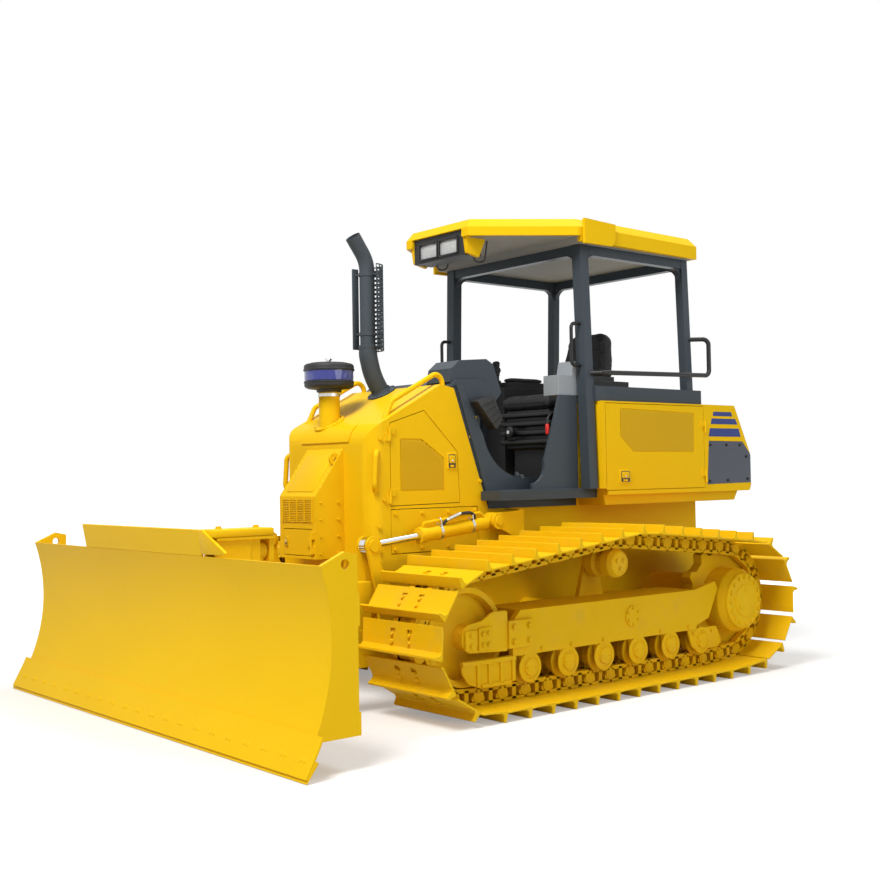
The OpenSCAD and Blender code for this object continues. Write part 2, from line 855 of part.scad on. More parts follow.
module dash_console() {
    half = hull_w / 2;
    color(dark) {
        difference() {
            across(-half, half)
                polygon([
                    [dash_front_x(floor_z) - cowl_t - 20, floor_z], [dash_front_x(floor_z), floor_z],
                    [dash_front_x(hood_back.y), hood_back.y], [hood_back.x - cowl_t, hood_back.y + 15]
                ]);
            across(-half + 30, half - 30)
                polygon([
                    [hood_rear_x - cowl_t - 30, floor_z + 20],
                    [dash_front_x(floor_z + 20) - 25, floor_z + 20], [dash_front_x(1560) - 25, 1560],
                    [dash_front_x(1560) - 200, 1560]
                ]);
        }
        // Low top across the machine
        across(-half + 10, half - 10)
            polygon([
                [hood_back.x - cowl_t - 60, hood_back.y - 170], [hood_back.x - cowl_t, hood_back.y + 15],
                [dash_front_x(hood_back.y), hood_back.y + dash_gap], [748, hood_back.y + 12], [700, 1824],
                [520, 1834], [440, 1790], [440, 1640]
            ]);
        // Raised block on the left
        across(190, half - 35)
            polygon([
                [600, 1640], [690, 1780], [735, 1812], [716, 1893], [655, 1943], [440, 1960], [385, 1930],
                [320, 1760], [430, 1640]
            ]);
    }
}

sill_arc_r = 330;
sill_arc_x = 198;
sill_z = floor_z + 79;
guard_z = 1745;
guard_y = [568, 590];
platform_x0 = -280;
sill_x0 = post_front_x + post_w / 2;

module operator_platform() {
    half = hull_w / 2;
    color(dark) {
        box([platform_x0, hood_rear_x], [-half, half], [rear_deck_z, floor_z]);
        box([platform_x0, hood_rear_x], [-platform_y, platform_y], [floor_z - 55, floor_z]);
        both_sides() {
            box([hood_rear_x - past, hood_rear_x + 60], [half + 3, platform_y], [floor_z - 55, floor_z]);
            // Plate beside the hood's rear edge that curves into the sill of the doorway
            across(half + 1, half + 16)
                difference() {
                    polygon([
                        [sill_x0, floor_z - 1], [dash_front_x(floor_z) - 10, floor_z - 1],
                        [dash_front_x(hood_back.y) - 10, hood_back.y + 18], [680, hood_back.y + 18],
                        [438, sill_z + 107], [sill_x0, sill_z + 107]
                    ]);
                    translate([sill_arc_x, sill_z + sill_arc_r])
                        circle(r = sill_arc_r);
                    polygon([
                        [sill_x0 - past, sill_z], [sill_arc_x, sill_z], [sill_arc_x, sill_z + 300],
                        [sill_x0 - past, sill_z + 300]
                    ]);
                }
            // Guard plate ahead of the front post
            across(guard_y[0], guard_y[1])
                difference() {
                    polygon([
                        [-145, floor_z - 1], [250, floor_z - 1], [250, floor_z + 180],
                        [140, floor_z + 180], [45, guard_z - 130], [5, guard_z], [-145, guard_z]
                    ]);
                    translate([145 + 110, floor_z + 40 + 110])
                        circle(r = 110);
                    translate([240, floor_z + 40])
                        square([20, 160]);
                }
        }
    }
}

seat_x = -510;
cushion_z = 1690;
bellows_z = 1430;

module seat_suspension() {
    pleats = 4;
    rise = (cushion_z - 20 - bellows_z) / pleats;
    color(black) {
        box([seat_x - 190, seat_x + 180], [-180, 180], [floor_z, bellows_z]);
        for (i = [0:pleats - 1])
            translate([0, 0, bellows_z + i * rise]) {
                box([seat_x - 200, seat_x + 225], [-205, 205], [0, rise / 2]);
                box([seat_x - 220, seat_x + 255], [-235, 235], [rise / 2, rise]);
            }
        box([seat_x - 200, seat_x + 220], [-200, 200], [cushion_z - 20, cushion_z - seat_gap]);
    }
}

module seat_cushion() {
    color(black)
        box([seat_x - 240, seat_x + 270], [-245, 245], [cushion_z, cushion_z + 95]);
}

module seat_back() {
    back_z = 2245;
    color(black)
        difference() {
            across(-235, 235)
                polygon([
                    [seat_x - 240 - seat_gap, cushion_z - 30], [seat_x - 240 - seat_gap, cushion_z + 110],
                    [seat_x - 340, back_z], [seat_x - 430, back_z], [seat_x - 380, cushion_z - 30]
                ]);
            both_sides()
                translate([seat_x - 500, 235, back_z - 120])
                    rotate([45, 0, 0])
                        cube([400, 200, 200]);
        }
}

console_z = 1860;
console_front_x = -345;

module side_consoles() {
    color("#8f9499")
        both_sides() {
            box([-770, console_front_x], [285, 470], [floor_z, console_z]);
            // Padded arm rest
            box([-740, console_front_x - 60], [290, 370], [console_z - 1, console_z + 40]);
            // Stepped box on the guard plate by the front post
            across(450, 580)
                polygon([
                    [5, guard_z + seat_gap], [5, 1870], [-110, 1870], [-130, 1960], [-238, 1960],
                    [-238, guard_z + seat_gap]
                ]);
        }
}

module control_levers() {
    color(black) {
        for (side = [-1, 1]) {
            rod_between([-400, side * 410, console_z + seat_gap], [-400, side * 410, console_z + 120], 14);
            translate([-400, side * 410, console_z + 128])
                sphere(r = 26);
        }
        // Pedals on the floor
        for (y = [-60, 70])
            across(y, y + 90)
                polygon([[330, floor_z], [370, floor_z], [400, floor_z + 120], [370, floor_z + 120]]);
    }
}

canopy_beam = 62;

module canopy_post(x, w, foot_z) {
    lean = (post_foot_y - post_top_y) / (roof_z0 - floor_z);
    foot_y = post_foot_y - lean * (foot_z - floor_z);
    translate([x, 0, 0])
        rotate([90, 0, 90])
            translate([0, 0, -w / 2])
                linear_extrude(w)
                    polygon([
                        [foot_y - w / 2, foot_z], [foot_y + w / 2, foot_z], [post_top_y + w / 2, roof_z0],
                        [post_top_y - w / 2, roof_z0]
                    ]);
}

// Web with a round inner edge that fills the corner under a beam, towards +x
module corner_web(r) {
    difference() {
        translate([-past, -r])
            square([r + past, r + past]);
        translate([r, -r])
            circle(r = r);
    }
}

module canopy_frame() {
    low = roof_z0 - canopy_beam;
    web_r = 75;
    color(dark) {
        both_sides() {
            canopy_post(post_front_x, post_w, floor_z);
            canopy_post(post_rear_x, rear_post_w, rear_z1);
            // Roof rail along the side, with round webs to the posts
            box([post_rear_x, post_front_x], [post_top_y - 28, post_top_y + 28], [low, roof_z0]);
            across(post_top_y - 18, post_top_y + 18) {
                translate([post_rear_x + rear_post_w / 2, low])
                    corner_web(web_r);
                translate([post_front_x - post_w / 2, low])
                    mirror([1, 0])
                        corner_web(web_r);
            }
            // Webs under the cross beams
            for (x = [post_front_x, post_rear_x])
                translate([x + 18, post_top_y - rear_post_w / 2, low])
                    rotate([90, 0, -90])
                        linear_extrude(36)
                            corner_web(web_r);
            // Foot rail on top of the rear body
            box([post_rear_x - 90, post_front_x - post_w / 2 + 1], [post_foot_y - 70, post_foot_y + 30],
                [rear_z1, rear_z1 + 95]);
        }
        for (x = [post_front_x, post_rear_x])
            box([x - 28, x + 28], [-post_top_y, post_top_y], [low, roof_z0]);
    }
}

// Edge of the roof's shallow front, and the lamp pod under it
roof_front_x = -95;
pod_x = [320, 462];
pod_y = 240;
pod_z = [roof_z0 - 75, roof_z0 + 82];
lamp_y = 97;
lamp_z = roof_z0 - 5;
lamp_size = [178, 98];
lamp_sink = 24;
roof_outline = [
    [480, -300], [480, 300], [-70, 700], [-320, 715], [-1230, 690], [-1230, -690], [-320, -715], [-70, -700]
];

module roof_panel() {
    rim = 85;
    color(yellow) {
        difference() {
            union() {
                upward(roof_z0, roof_z0 + rim)
                    polygon(roof_outline);
                hull() {
                    upward(roof_z0 + rim, roof_z0 + rim + 1)
                        polygon(roof_outline);
                    upward(roof_z0 + roof_h - 1, roof_z0 + roof_h)
                        polygon(inset(roof_outline, 40));
                }
            }
            // The front edge is less deep than the sides
            box([roof_front_x, 500], [-750, 750], [roof_z0 - past, roof_z0 + 32]);
            // Hollow underside
            upward(roof_z0 - past, roof_z0 + rim)
                polygon([[430, -pod_y], [430, pod_y], [-110, 600], [-110, -600]]);
            box([post_rear_x + 60, post_front_x - 60], [-post_top_y + 50, post_top_y - 50],
                [roof_z0 - past, roof_z0 + rim]);
            // Recess that the lamp pod fills
            box([pod_x[0] - seat_gap, 500], [-pod_y - seat_gap, pod_y + seat_gap],
                [roof_z0 - past, pod_z[1] + seat_gap]);
        }
        both_sides() {
            // Cheeks beside the pod
            across(pod_y + seat_gap, pod_y + 26)
                polygon([
                    [pod_x[0] - 20, roof_z0 + 40], [470, roof_z0 + 40], [452, pod_z[0] + 10],
                    [360, pod_z[0] - 10]
                ]);
            // Folded guard over the front post
            across(roof_outline[3].y - 6, roof_outline[3].y + 14)
                polygon([
                    [-100, roof_z0 - 15], [-350, roof_z0 - 12], [-380, roof_z0 + 30],
                    [-380, roof_z0 + 128], [-100, roof_z0 + 138]
                ]);
        }
    }
}

module roof_lamps() {
    color(black) {
        // Pod under the front edge
        difference() {
            box(pod_x, [-pod_y, pod_y], pod_z);
            for (y = [-lamp_y, lamp_y])
                box([pod_x[1] - lamp_sink, pod_x[1] + past], [y - lamp_size[0] / 2, y + lamp_size[0] / 2],
                    [lamp_z - lamp_size[1] / 2, lamp_z + lamp_size[1] / 2]);
        }
        // Work lamps at the back
        for (y = [-450, 450])
            box([-1300, -1230], [y - 80, y + 80], [roof_z0 + 5, roof_z0 + 100]);
    }
}

module lamp_lenses() {
    half = lamp_size / 2 - [seat_gap, seat_gap];
    color("white")
        for (y = [-lamp_y, lamp_y])
            box([pod_x[1] - lamp_sink, pod_x[1] - 6], [y - half.x, y + half.x],
                [lamp_z - half.y, lamp_z + half.y]);
}

module cab_rails() {
    r = 15;
    out = post_foot_y + 85;
    color(black)
        both_sides()
            difference() {
                union() {
                    // Arm rail outside the posts, raised to a handle at the back
                    tube_path([
                        [post_front_x, post_foot_y - 30, 1882], [post_front_x - 60, out, 1882],
                        [post_rear_x - 110, out, 1905], [post_rear_x - 110, out, 2150],
                        [post_rear_x, post_foot_y - 30, 2150]
                    ], r, 40);
                    // Grab handle ahead of the front post
                    tube_path([
                        [post_front_x, 620, 1930], [post_front_x + 110, 620, 1930],
                        [post_front_x + 110, 620, 2190], [post_front_x, 620, 2190]
                    ], 11, 30);
                }
                canopy_post(post_front_x, post_w, floor_z);
                canopy_post(post_rear_x, rear_post_w, rear_z1);
            }
}

// Rear body

rear_panel_outline = [[-1235, 1155], [-270, 1155], [-270, 1695], [-1235, 1695]];
rear_field = [[-1135, 1391], [-522, 1391], [-402, 1489], [-402, 1667], [-1139, 1650]];
rear_hinge = [rear_panel_outline[0].x - 9, rear_y + 8];
rear_knuckles = [1230, 1560];
rear_skin = 14;
skirt_z = 1062;
rear_outline = [
    [rear_x0 + 20, rear_z0], [-240, rear_z0], [-240, rear_z1], [-1575, rear_z1], [rear_x0, 1370],
    [rear_x0, rear_z0 + 40]
];
corner_outline = [
    [-1265, 1174], [rear_x0 - past, 1180], [rear_x0 - past, 1370], [rear_x0 + 90, 1464], [-1287, 1467]
];

module rear_body() {
    color(yellow)
        difference() {
            union() {
                across(-rear_y, rear_y)
                    polygon(rear_outline);
                // Skirts over the tracks
                across(-rear_y + 50, rear_y - 50)
                    polygon([
                        [rear_x0 + 90, rear_z0 + 1], [rear_x0 + 130, skirt_z], [-310, skirt_z],
                        [-290, rear_z0 + 1]
                    ]);
                // Lower rear hull between the tracks
                across(-hull_w / 2, hull_w / 2)
                    polygon([
                        [hull_rear_x, rear_deck_z], [-280, rear_deck_z], [-280, rear_z0 + 1],
                        [hull_rear_x, rear_z0 + 1]
                    ]);
                both_sides()
                    hinge_half(rear_hinge, [for (z = rear_knuckles) z - knuckle_l - seat_gap], knuckle_l,
                        rear_hinge.x - 16, rear_hinge.x, rear_y);
            }
            // Well for the seat
            box([-1010, 0], [-seat_well_y, seat_well_y], [floor_z, rear_z1 + past]);
            // Room for the consoles and the front posts
            both_sides() {
                box([-790, 0], [seat_well_y - 1, 480], [floor_z, rear_z1 + past]);
                across(rear_y - locker_d, rear_y + past)
                    polygon(inset(rear_panel_outline, 25));
                across(rear_y - rear_skin, rear_y + past)
                    polygon(inset(rear_panel_outline, -panel_gap));
            }
            // Room above the platform's rear edge
            box([-281, 0], [-rear_y - past, rear_y + past], [rear_z0 - past, floor_z]);
            // Corners that the dark covers fill
            both_sides()
                across(rear_y - rear_skin, rear_y + past)
                    polygon(corner_outline);
        }
}

module rear_corner_covers() {
    color(dark)
        both_sides()
            intersection() {
                across(rear_y - rear_skin, rear_y)
                    polygon(corner_outline);
                across(rear_y - rear_skin, rear_y)
                    polygon(rear_outline);
            }
}

module rear_panel_left() {
    color(yellow) {
        louvred(rear_panel_outline, rear_field,
            [for (z = [rear_field[0].y + 14:slot_pitch:rear_field[3].y - 20])
                [rear_field[0].x + 14, min(rear_field[2].x - 14,
                rear_field[1].x - 20 + (z - rear_field[1].y) * 1.2), z]],
            rear_y - rear_skin, rear_y);
        hinge_half(rear_hinge, rear_knuckles, knuckle_l, rear_hinge.x + 40, rear_panel_outline[0].x, rear_y);
    }
}

module rear_panel_right() {
    mirror([0, 1, 0])
        rear_panel_left();
}

drawbar_x = -1640;
drawbar_z = 520;
drawbar_pin_r = 21;

module drawbar() {
    color(yellow) {
        difference() {
            for (z = [drawbar_z - 75, drawbar_z + 40])
                upward(z, z + 35)
                    difference() {
                        union() {
                            translate([drawbar_x, -90])
                                square([hull_rear_x - drawbar_x + 20, 180]);
                            translate([drawbar_x, 0])
                                circle(r = 90);
                        }
                        translate([drawbar_x, 0])
                            circle(r = drawbar_pin_r);
                    }
            box([hull_rear_x - 20, hull_rear_x + 500], [-100, 100], [0, 900]);
        }
        box([hull_rear_x - 40, hull_rear_x], [-160, 160], [drawbar_z - 130, drawbar_z + 130]);
    }
}

// Blade gear

arm_z = [245, 445];
eye_w = 46;
lift_eye_r = 50;
angle_eye_r = 38;
tilt_eye_r = 42;
lift_eye = [1420, 890];
lift_ear_y = [arm_y - lug_gap - lug_t, arm_y + lug_gap];
angle_rear = [1470, arm_y - 15];
angle_z = 560;
angle_pin_r = 22;
angle_eye = [swivel_x + 150, angle_eye_y];
swivel_pin_r = 50;
swivel_lug_z = [245, 300, 390, 445];
beam_x = [1720, 1860];

// Plan view of one push arm and half of the front beam
arm_plan = [
    [lift_x, arm_y - arm_w / 2], [1640, arm_y - arm_w / 2], [beam_x[0], 350], [beam_x[0], 0], [1890, 0],
    [1890, 190], [beam_x[1], 360], [1770, arm_y + arm_w / 2 - 20], [1700, arm_y + arm_w / 2],
    [lift_x, arm_y + arm_w / 2]
];

module c_frame() {
    nose = [beam_x[0] + 20, swivel_x];
    color(yellow)
        difference() {
            union() {
                both_sides() {
                    upward(arm_z[0], arm_z[1])
                        polygon(arm_plan);
                    // Round rear end on the trunnion
                    cross_bar(lift_x, lift_z, 100, arm_y - arm_w / 2, arm_y + arm_w / 2);
                    // Lift levers
                    for (y = lift_ear_y)
                        across(y, y + lug_t) {
                            polygon([
                                [1190, arm_z[1] - past], [1385, arm_z[1] - past], [1400, 620],
                                [lift_eye.x + 50, lift_eye.y], [lift_eye.x - 40, lift_eye.y],
                                [lift_eye.x - 40, lift_eye.y - 90]
                            ]);
                            translate(lift_eye)
                                circle(r = lift_eye_r);
                        }
                    // Bosses of the lever's pin, outside its plates
                    cross_bar(lift_eye.x, lift_eye.y, 34, lift_ear_y[0] - 8, lift_ear_y[0] + 1);
                    cross_bar(lift_eye.x, lift_eye.y, 34, lift_ear_y[1] + lug_t - 1,
                        lift_ear_y[1] + lug_t + 8);
                    // Lug and pin of the angle cylinder
                    upward(arm_z[1] - past, angle_z - eye_w / 2 - 3)
                        translate([angle_rear.x, angle_rear.y])
                            circle(r = 45);
                    upward(arm_z[1], angle_z + eye_w / 2 + 14)
                        translate([angle_rear.x, angle_rear.y])
                            circle(r = angle_pin_r);
                    // Guard over the angle cylinder
                    box([1440, 1790], [arm_y + arm_w / 2 - 16, arm_y + arm_w / 2 - 2],
                        [arm_z[1] - past, 700]);
                    box([1440, 1790], [arm_y - arm_w / 2 + 5, arm_y + arm_w / 2 - 2], [686, 700]);
                }
                // Swivel lugs
                for (i = [0, 2])
                    upward(swivel_lug_z[i], swivel_lug_z[i + 1]) {
                        translate([nose[0], -95])
                            square([nose[1] - nose[0], 190]);
                        translate([nose[1], 0])
                            circle(r = 95);
                    }
            }
            cross_bar(lift_x, lift_z, arm_pin_r + run_gap, arm_y - arm_w, arm_y + arm_w);
            mirror([0, 1, 0])
                cross_bar(lift_x, lift_z, arm_pin_r + run_gap, arm_y - arm_w, arm_y + arm_w);
            translate([swivel_x, 0, 0])
                cylinder(h = 600, r = swivel_pin_r + run_gap);
            // Room for the swivel's tongue between the lugs
            upward(swivel_lug_z[1], swivel_lug_z[2])
                translate([1890, -400])
                    square([400, 800]);
        }
}

tilt_z = 350;
tilt_pin_r = 60;
bolster_x = [2110, 2215];
bolster_z = [275, 445];
// Gap between the bolster and the back of the blade
blade_gap = 20;
blade_back_x = bolster_x[1] + blade_gap;
tilt_eye_z = bolster_z[1] + 65;
tilt_eye_pin_r = 22;
tilt_x = (bolster_x[0] + bolster_x[1]) / 2;
tilt_lug_gap = eye_w / 2 + 3;

module bolster() {
    lug_z = angle_z - eye_w / 2 - 3;
    color(yellow) {
        difference() {
            union() {
                // Cross beam
                box(bolster_x, [-470, tilt_y + 60], bolster_z);
                // Tongue between the swivel lugs
                upward(swivel_lug_z[1] + 5, swivel_lug_z[2] - 5) {
                    translate([swivel_x, -90])
                        square([bolster_x[0] - swivel_x + 1, 180]);
                    translate([swivel_x, 0])
                        circle(r = 90);
                }
                // Swivel pin
                translate([swivel_x, 0, swivel_lug_z[0] - 10])
                    cylinder(h = swivel_lug_z[3] - swivel_lug_z[0] + 20, r = swivel_pin_r);
                // Lugs under the angle cylinders' rod eyes
                both_sides()
                    upward(bolster_z[1] - past, lug_z)
                        translate([angle_eye.x, angle_eye.y])
                            circle(r = 45);
                // Trunnion that the blade tilts on
                translate([bolster_x[1] - 1, 0, tilt_z])
                    rotate([0, 90, 0])
                        cylinder(h = blade_back_x + 100 - bolster_x[1], r = tilt_pin_r);
                // Ears at the foot of the tilt cylinder
                for (x = [[bolster_x[0], tilt_x - tilt_lug_gap], [tilt_x + tilt_lug_gap, bolster_x[1]]])
                    box(x, [tilt_y - 48, tilt_y + 48], [bolster_z[1] - past, tilt_eye_z + 48]);
            }
        }
    }
}

// Ring about the local Y axis, turned by spin about the cylinder's own axis
module eye(r, spin) {
    rotate([spin, 0, 0])
        translate([0, -eye_w / 2, 0])
            rotate([-90, 0, 0])
                cylinder(h = eye_w, r = r);
}

module eye_bore(pin_r, spin) {
    rotate([spin, 0, 0])
        translate([0, -eye_w, 0])
            rotate([-90, 0, 0])
                cylinder(h = 2 * eye_w, r = pin_r);
}

module along(from, to, r) {
    translate([from, 0, 0])
        rotate([0, 90, 0])
            cylinder(h = to - from, r = r);
}

// Cylinder barrel along +X from its rear eye, with a blind bore for the rod
module barrel(length, r, rod_r, pin_r, eye_r, spin) {
    start = eye_r + barrel_neck;
    difference() {
        union() {
            along(eye_r - 15, start + 1, eye_w / 2 - 1);
            along(start, length, r);
            // Gland
            along(length - 45, length, r + 5);
            eye(eye_r, spin);
        }
        along(start + 15, length + past, rod_r + run_gap);
        eye_bore(pin_r + run_gap, spin);
    }
}

// Rod along +X, from its inner end to the eye at the full length
module cylinder_rod(full, inner, rod_r, pin_r, eye_r, spin) {
    difference() {
        union() {
            along(inner, full - eye_r + 15, rod_r);
            translate([full, 0, 0])
                eye(eye_r, spin);
        }
        translate([full, 0, 0])
            eye_bore(pin_r, spin);
    }
}

barrel_neck = 24;
lift_full = norm(lift_eye - lift_rear);
lift_rise = atan2(lift_eye.y - lift_rear.y, lift_eye.x - lift_rear.x);
lift_barrel_l = 580;

module at_lift() {
    translate([lift_rear.x, arm_y, lift_rear.y])
        rotate([0, -lift_rise, 0])
            children();
}

module lift_barrel_left() {
    color(yellow)
        at_lift()
            barrel(lift_barrel_l, lift_barrel_r - 5, lift_rod_r, lift_pin_r, lift_eye_r, 0);
}

module lift_barrel_right() {
    mirror([0, 1, 0])
        lift_barrel_left();
}

module lift_rod_left() {
    color(steel)
        at_lift()
            cylinder_rod(lift_full, 370, lift_rod_r, lift_pin_r, lift_eye_r, 0);
}

module lift_rod_right() {
    mirror([0, 1, 0])
        lift_rod_left();
}

angle_full = norm(angle_eye - angle_rear);
angle_turn = atan2(angle_eye.y - angle_rear.y, angle_eye.x - angle_rear.x);
angle_barrel_l = 430;
angle_barrel_r = 36;
angle_rod_r = 20;

module at_angle() {
    translate([angle_rear.x, angle_rear.y, angle_z])
        rotate([0, 0, angle_turn])
            children();
}

module angle_barrel_left() {
    color(yellow)
        at_angle()
            barrel(angle_barrel_l, angle_barrel_r, angle_rod_r, angle_pin_r, angle_eye_r, 90);
}

module angle_barrel_right() {
    mirror([0, 1, 0])
        angle_barrel_left();
}

module angle_rod_left() {
    color(steel)
        at_angle()
            cylinder_rod(angle_full, 265, angle_rod_r, angle_pin_r, angle_eye_r, 90);
}

module angle_rod_right() {
    mirror([0, 1, 0])
        angle_rod_left();
}

// The tilt cylinder hangs from the blade, with its rod's eye at the bolster's foot
tilt_top_z = 905;
tilt_full = tilt_top_z - tilt_eye_z;
tilt_barrel_l = 255;
tilt_barrel_r = 40;
tilt_rod_r = 19;

module at_tilt() {
    translate([tilt_x, tilt_y, tilt_top_z])
        rotate([0, 90, 0])
            children();
}

module tilt_barrel() {
    color(yellow)
        at_tilt()
            barrel(tilt_barrel_l, tilt_barrel_r, tilt_rod_r, tilt_eye_pin_r, tilt_eye_r, 90);
}

module tilt_rod() {
    color(steel)
        at_tilt()
            cylinder_rod(tilt_full, 165, tilt_rod_r, tilt_eye_pin_r, tilt_eye_r, 90);
}

// Blade

board_low_z = 90;
blade_eye = [2320, 890];
blade_eye_r = 22;
end_t = 24;
rib_t = 24;
tilt_shelf_z = tilt_top_z + 60;
board_top = [board_top_x, board_top_z];
board_low = [board_low_x, board_low_z];
board_chord = norm(board_top - board_low);
board_r = (pow(board_chord / 2, 2) + pow(board_sag, 2)) / (2 * board_sag);
board_out = -left_of(board_low, board_top);
board_c = (board_top + board_low) / 2 + board_out * (board_r - board_sag);
edge_dir = unit([-(board_low - board_c).y, (board_low - board_c).x]);
edge_n = [-edge_dir.y, edge_dir.x];
edge_l = (board_low_z - edge_clear) / -edge_dir.y;
edge_tip = board_low + edge_dir * edge_l;
mid_x = (edge_tip.x + rear_x0) / 2;

// Curved skin between two radii about the curve's centre, cut to the board's height
module board_skin(r0, r1) {
    intersection() {
        difference() {
            translate(board_c)
                circle(r = r1, $fn = 180);
            translate(board_c)
                circle(r = r0, $fn = 180);
        }
        polygon([
            board_top + [-400, 0], board_top + [200, 0], board_low + edge_n * 200, board_low - edge_n * 300
        ]);
    }
}

// Keeps what lies behind the curved skin
module behind_skin() {
    difference() {
        children();
        across(-board_w, board_w)
            translate(board_c)
                circle(r = board_r + 1, $fn = 180);
    }
}

module mouldboard() {
    half = board_w / 2;
    color(yellow)
        difference() {
            union() {
                across(-half, half)
                    board_skin(board_r, board_r + board_t);
                behind_skin() {
                    // Stiffening boxes along the back
                    for (z = [[board_low_z + 60, 250], [620, 760]])
                        box([blade_back_x + 10, board_c.x - board_r + 60], [-half, half], z);
                    // Upright ribs
                    for (f = [-0.84, -0.58, -0.29, 0.29, 0.58, 0.84])
                        box([blade_back_x + 10, board_c.x - board_r + 60],
                            [f * half - rib_t / 2, f * half + rib_t / 2], [board_low_z + 60, 820]);
                    // End plates with an eye at the top
                    for (y = [-half, half - end_t])
                        across(y, y + end_t)
                            difference() {
                                polygon([
                                    [blade_back_x + 20, board_low_z + 60],
                                    [board_c.x - board_r + 80, board_low_z + 60], board_top,
                                    [blade_eye.x, blade_eye.y + 55], [blade_back_x + 20, blade_eye.y + 40]
                                ]);
                                translate(blade_eye)
                                    circle(r = blade_eye_r);
                            }
                    // Shelf and cheeks of the tilt cylinder's bracket
                    box([bolster_x[0], board_top.x - 10], [tilt_y - 70, tilt_y + 70],
                        [tilt_shelf_z, tilt_shelf_z + 16]);
                    for (y = [tilt_y - 60, tilt_y + 40])
                        box([blade_back_x + 10, board_top.x - 10], [y, y + 20], [640, tilt_shelf_z + 1]);
                    // Boss that turns on the trunnion
                    translate([blade_back_x, 0, tilt_z])
                        rotate([0, 90, 0])
                            cylinder(h = 160, r = 115);
                }
                // Ears and pin that the tilt cylinder hangs from
                for (x = [[bolster_x[0], tilt_x - tilt_lug_gap], [tilt_x + tilt_lug_gap, blade_back_x + 40]])
                    box(x, [tilt_y - 55, tilt_y + 55], [tilt_top_z - 50, tilt_shelf_z]);
                translate([bolster_x[0] - 8, tilt_y, tilt_top_z])
                    rotate([0, 90, 0])
                        cylinder(h = bolster_x[1] - bolster_x[0] + 16, r = tilt_eye_pin_r);
            }
            translate([blade_back_x - past, 0, tilt_z])
                rotate([0, 90, 0])
                    cylinder(h = past + 110, r = tilt_pin_r + run_gap);
        }
}

module cutting_edge() {
    half = edge_w / 2;
    color(steel)
        across(-half, half)
            polygon([board_low, board_low - edge_n * edge_t, edge_tip - edge_n * 4, edge_tip]);
}

module spill_guard() {
    color(yellow)
        across(-800, tilt_y - 70)
            polygon([
                board_top + [-14, 0], board_top, board_top + [25, 130], board_top + [10, 132]
            ]);
}

frame() main_frame();
frame() engine_block();
frame() track_frames();
frame() track_left();
frame() track_right();
frame() idlers();
frame() track_rollers();
frame() carrier_rollers();
frame() sprockets();
frame() final_drives();
frame() hood_shell();
frame() hood_side_panels();
frame() engine_door_left();
frame() engine_door_right();
frame() front_grille();
frame() front_access_door();
frame() exhaust_stack();
frame() exhaust_guard();
frame() pre_cleaner();
frame() hood_rails();
frame() dash_console();
frame() operator_platform();
frame() seat_suspension();
frame() seat_cushion();
frame() seat_back();
frame() side_consoles();
frame() control_levers();
frame() canopy_frame();
frame() roof_panel();
frame() roof_lamps();
frame() lamp_lenses();
frame() cab_rails();
frame() rear_body();
frame() rear_panel_left();
frame() rear_panel_right();
frame() rear_corner_covers();
frame() drawbar();
frame() c_frame();
frame() bolster();
frame() lift_barrel_left();
frame() lift_barrel_right();
frame() lift_rod_left();
frame() lift_rod_right();
frame() angle_barrel_left();
frame() angle_barrel_right();
frame() angle_rod_left();
frame() angle_rod_right();
frame() tilt_barrel();
frame() tilt_rod();
frame() mouldboard();
frame() cutting_edge();
frame() spill_guard();
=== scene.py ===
"""Looks of the bulldozer: finishes, fastenings, chains, soft pieces and studio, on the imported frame."""
import json
import math
from functools import cached_property

import bmesh
import bpy
from mathutils import Matrix, Vector
from mathutils.bvhtree import BVHTree


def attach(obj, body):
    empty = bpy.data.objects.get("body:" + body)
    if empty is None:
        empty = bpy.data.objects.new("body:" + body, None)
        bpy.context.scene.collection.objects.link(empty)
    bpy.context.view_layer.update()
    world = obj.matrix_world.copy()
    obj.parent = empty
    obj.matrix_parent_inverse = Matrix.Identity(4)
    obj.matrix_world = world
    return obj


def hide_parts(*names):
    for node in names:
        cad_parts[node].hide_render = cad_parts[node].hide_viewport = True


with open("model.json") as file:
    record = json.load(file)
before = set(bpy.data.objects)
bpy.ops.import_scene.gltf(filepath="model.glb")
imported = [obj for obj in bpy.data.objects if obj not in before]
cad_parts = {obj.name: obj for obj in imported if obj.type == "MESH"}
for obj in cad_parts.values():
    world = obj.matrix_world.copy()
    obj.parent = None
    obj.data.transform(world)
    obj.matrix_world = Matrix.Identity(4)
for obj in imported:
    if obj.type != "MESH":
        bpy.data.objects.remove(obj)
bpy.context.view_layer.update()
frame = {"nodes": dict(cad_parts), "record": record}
nodes = frame["nodes"]
scene = bpy.context.scene

# Stations along X count from the middle of the wheelbase, where the drawbar's pin is 1.64 m behind it
DRAWBAR_STATION = -1.640
MID = DRAWBAR_STATION - next(m for m in frame["record"]["mounts"] if m["name"] == "drawbar_pin")["pos_m"][0]
SIDES = (("left", 1), ("right", -1))
AHEAD, ACROSS, UP = (1, 0, 0), (0, 1, 0), (0, 0, 1)


def at(x, y, z):
    """A point from its station, side and height."""
    return Vector((x - MID, y, z))


# Colours
YELLOW = (0.870, 0.535, 0.006)
DARK_GREY = (0.046, 0.060, 0.074)
BLACK = (0.011, 0.0115, 0.0125)
CONSOLE_GREY = (0.300, 0.325, 0.350)
STRIPE_BLUE = (0.016, 0.038, 0.205)
NAVY = (0.020, 0.027, 0.050)
DUST = (0.52, 0.34, 0.075)


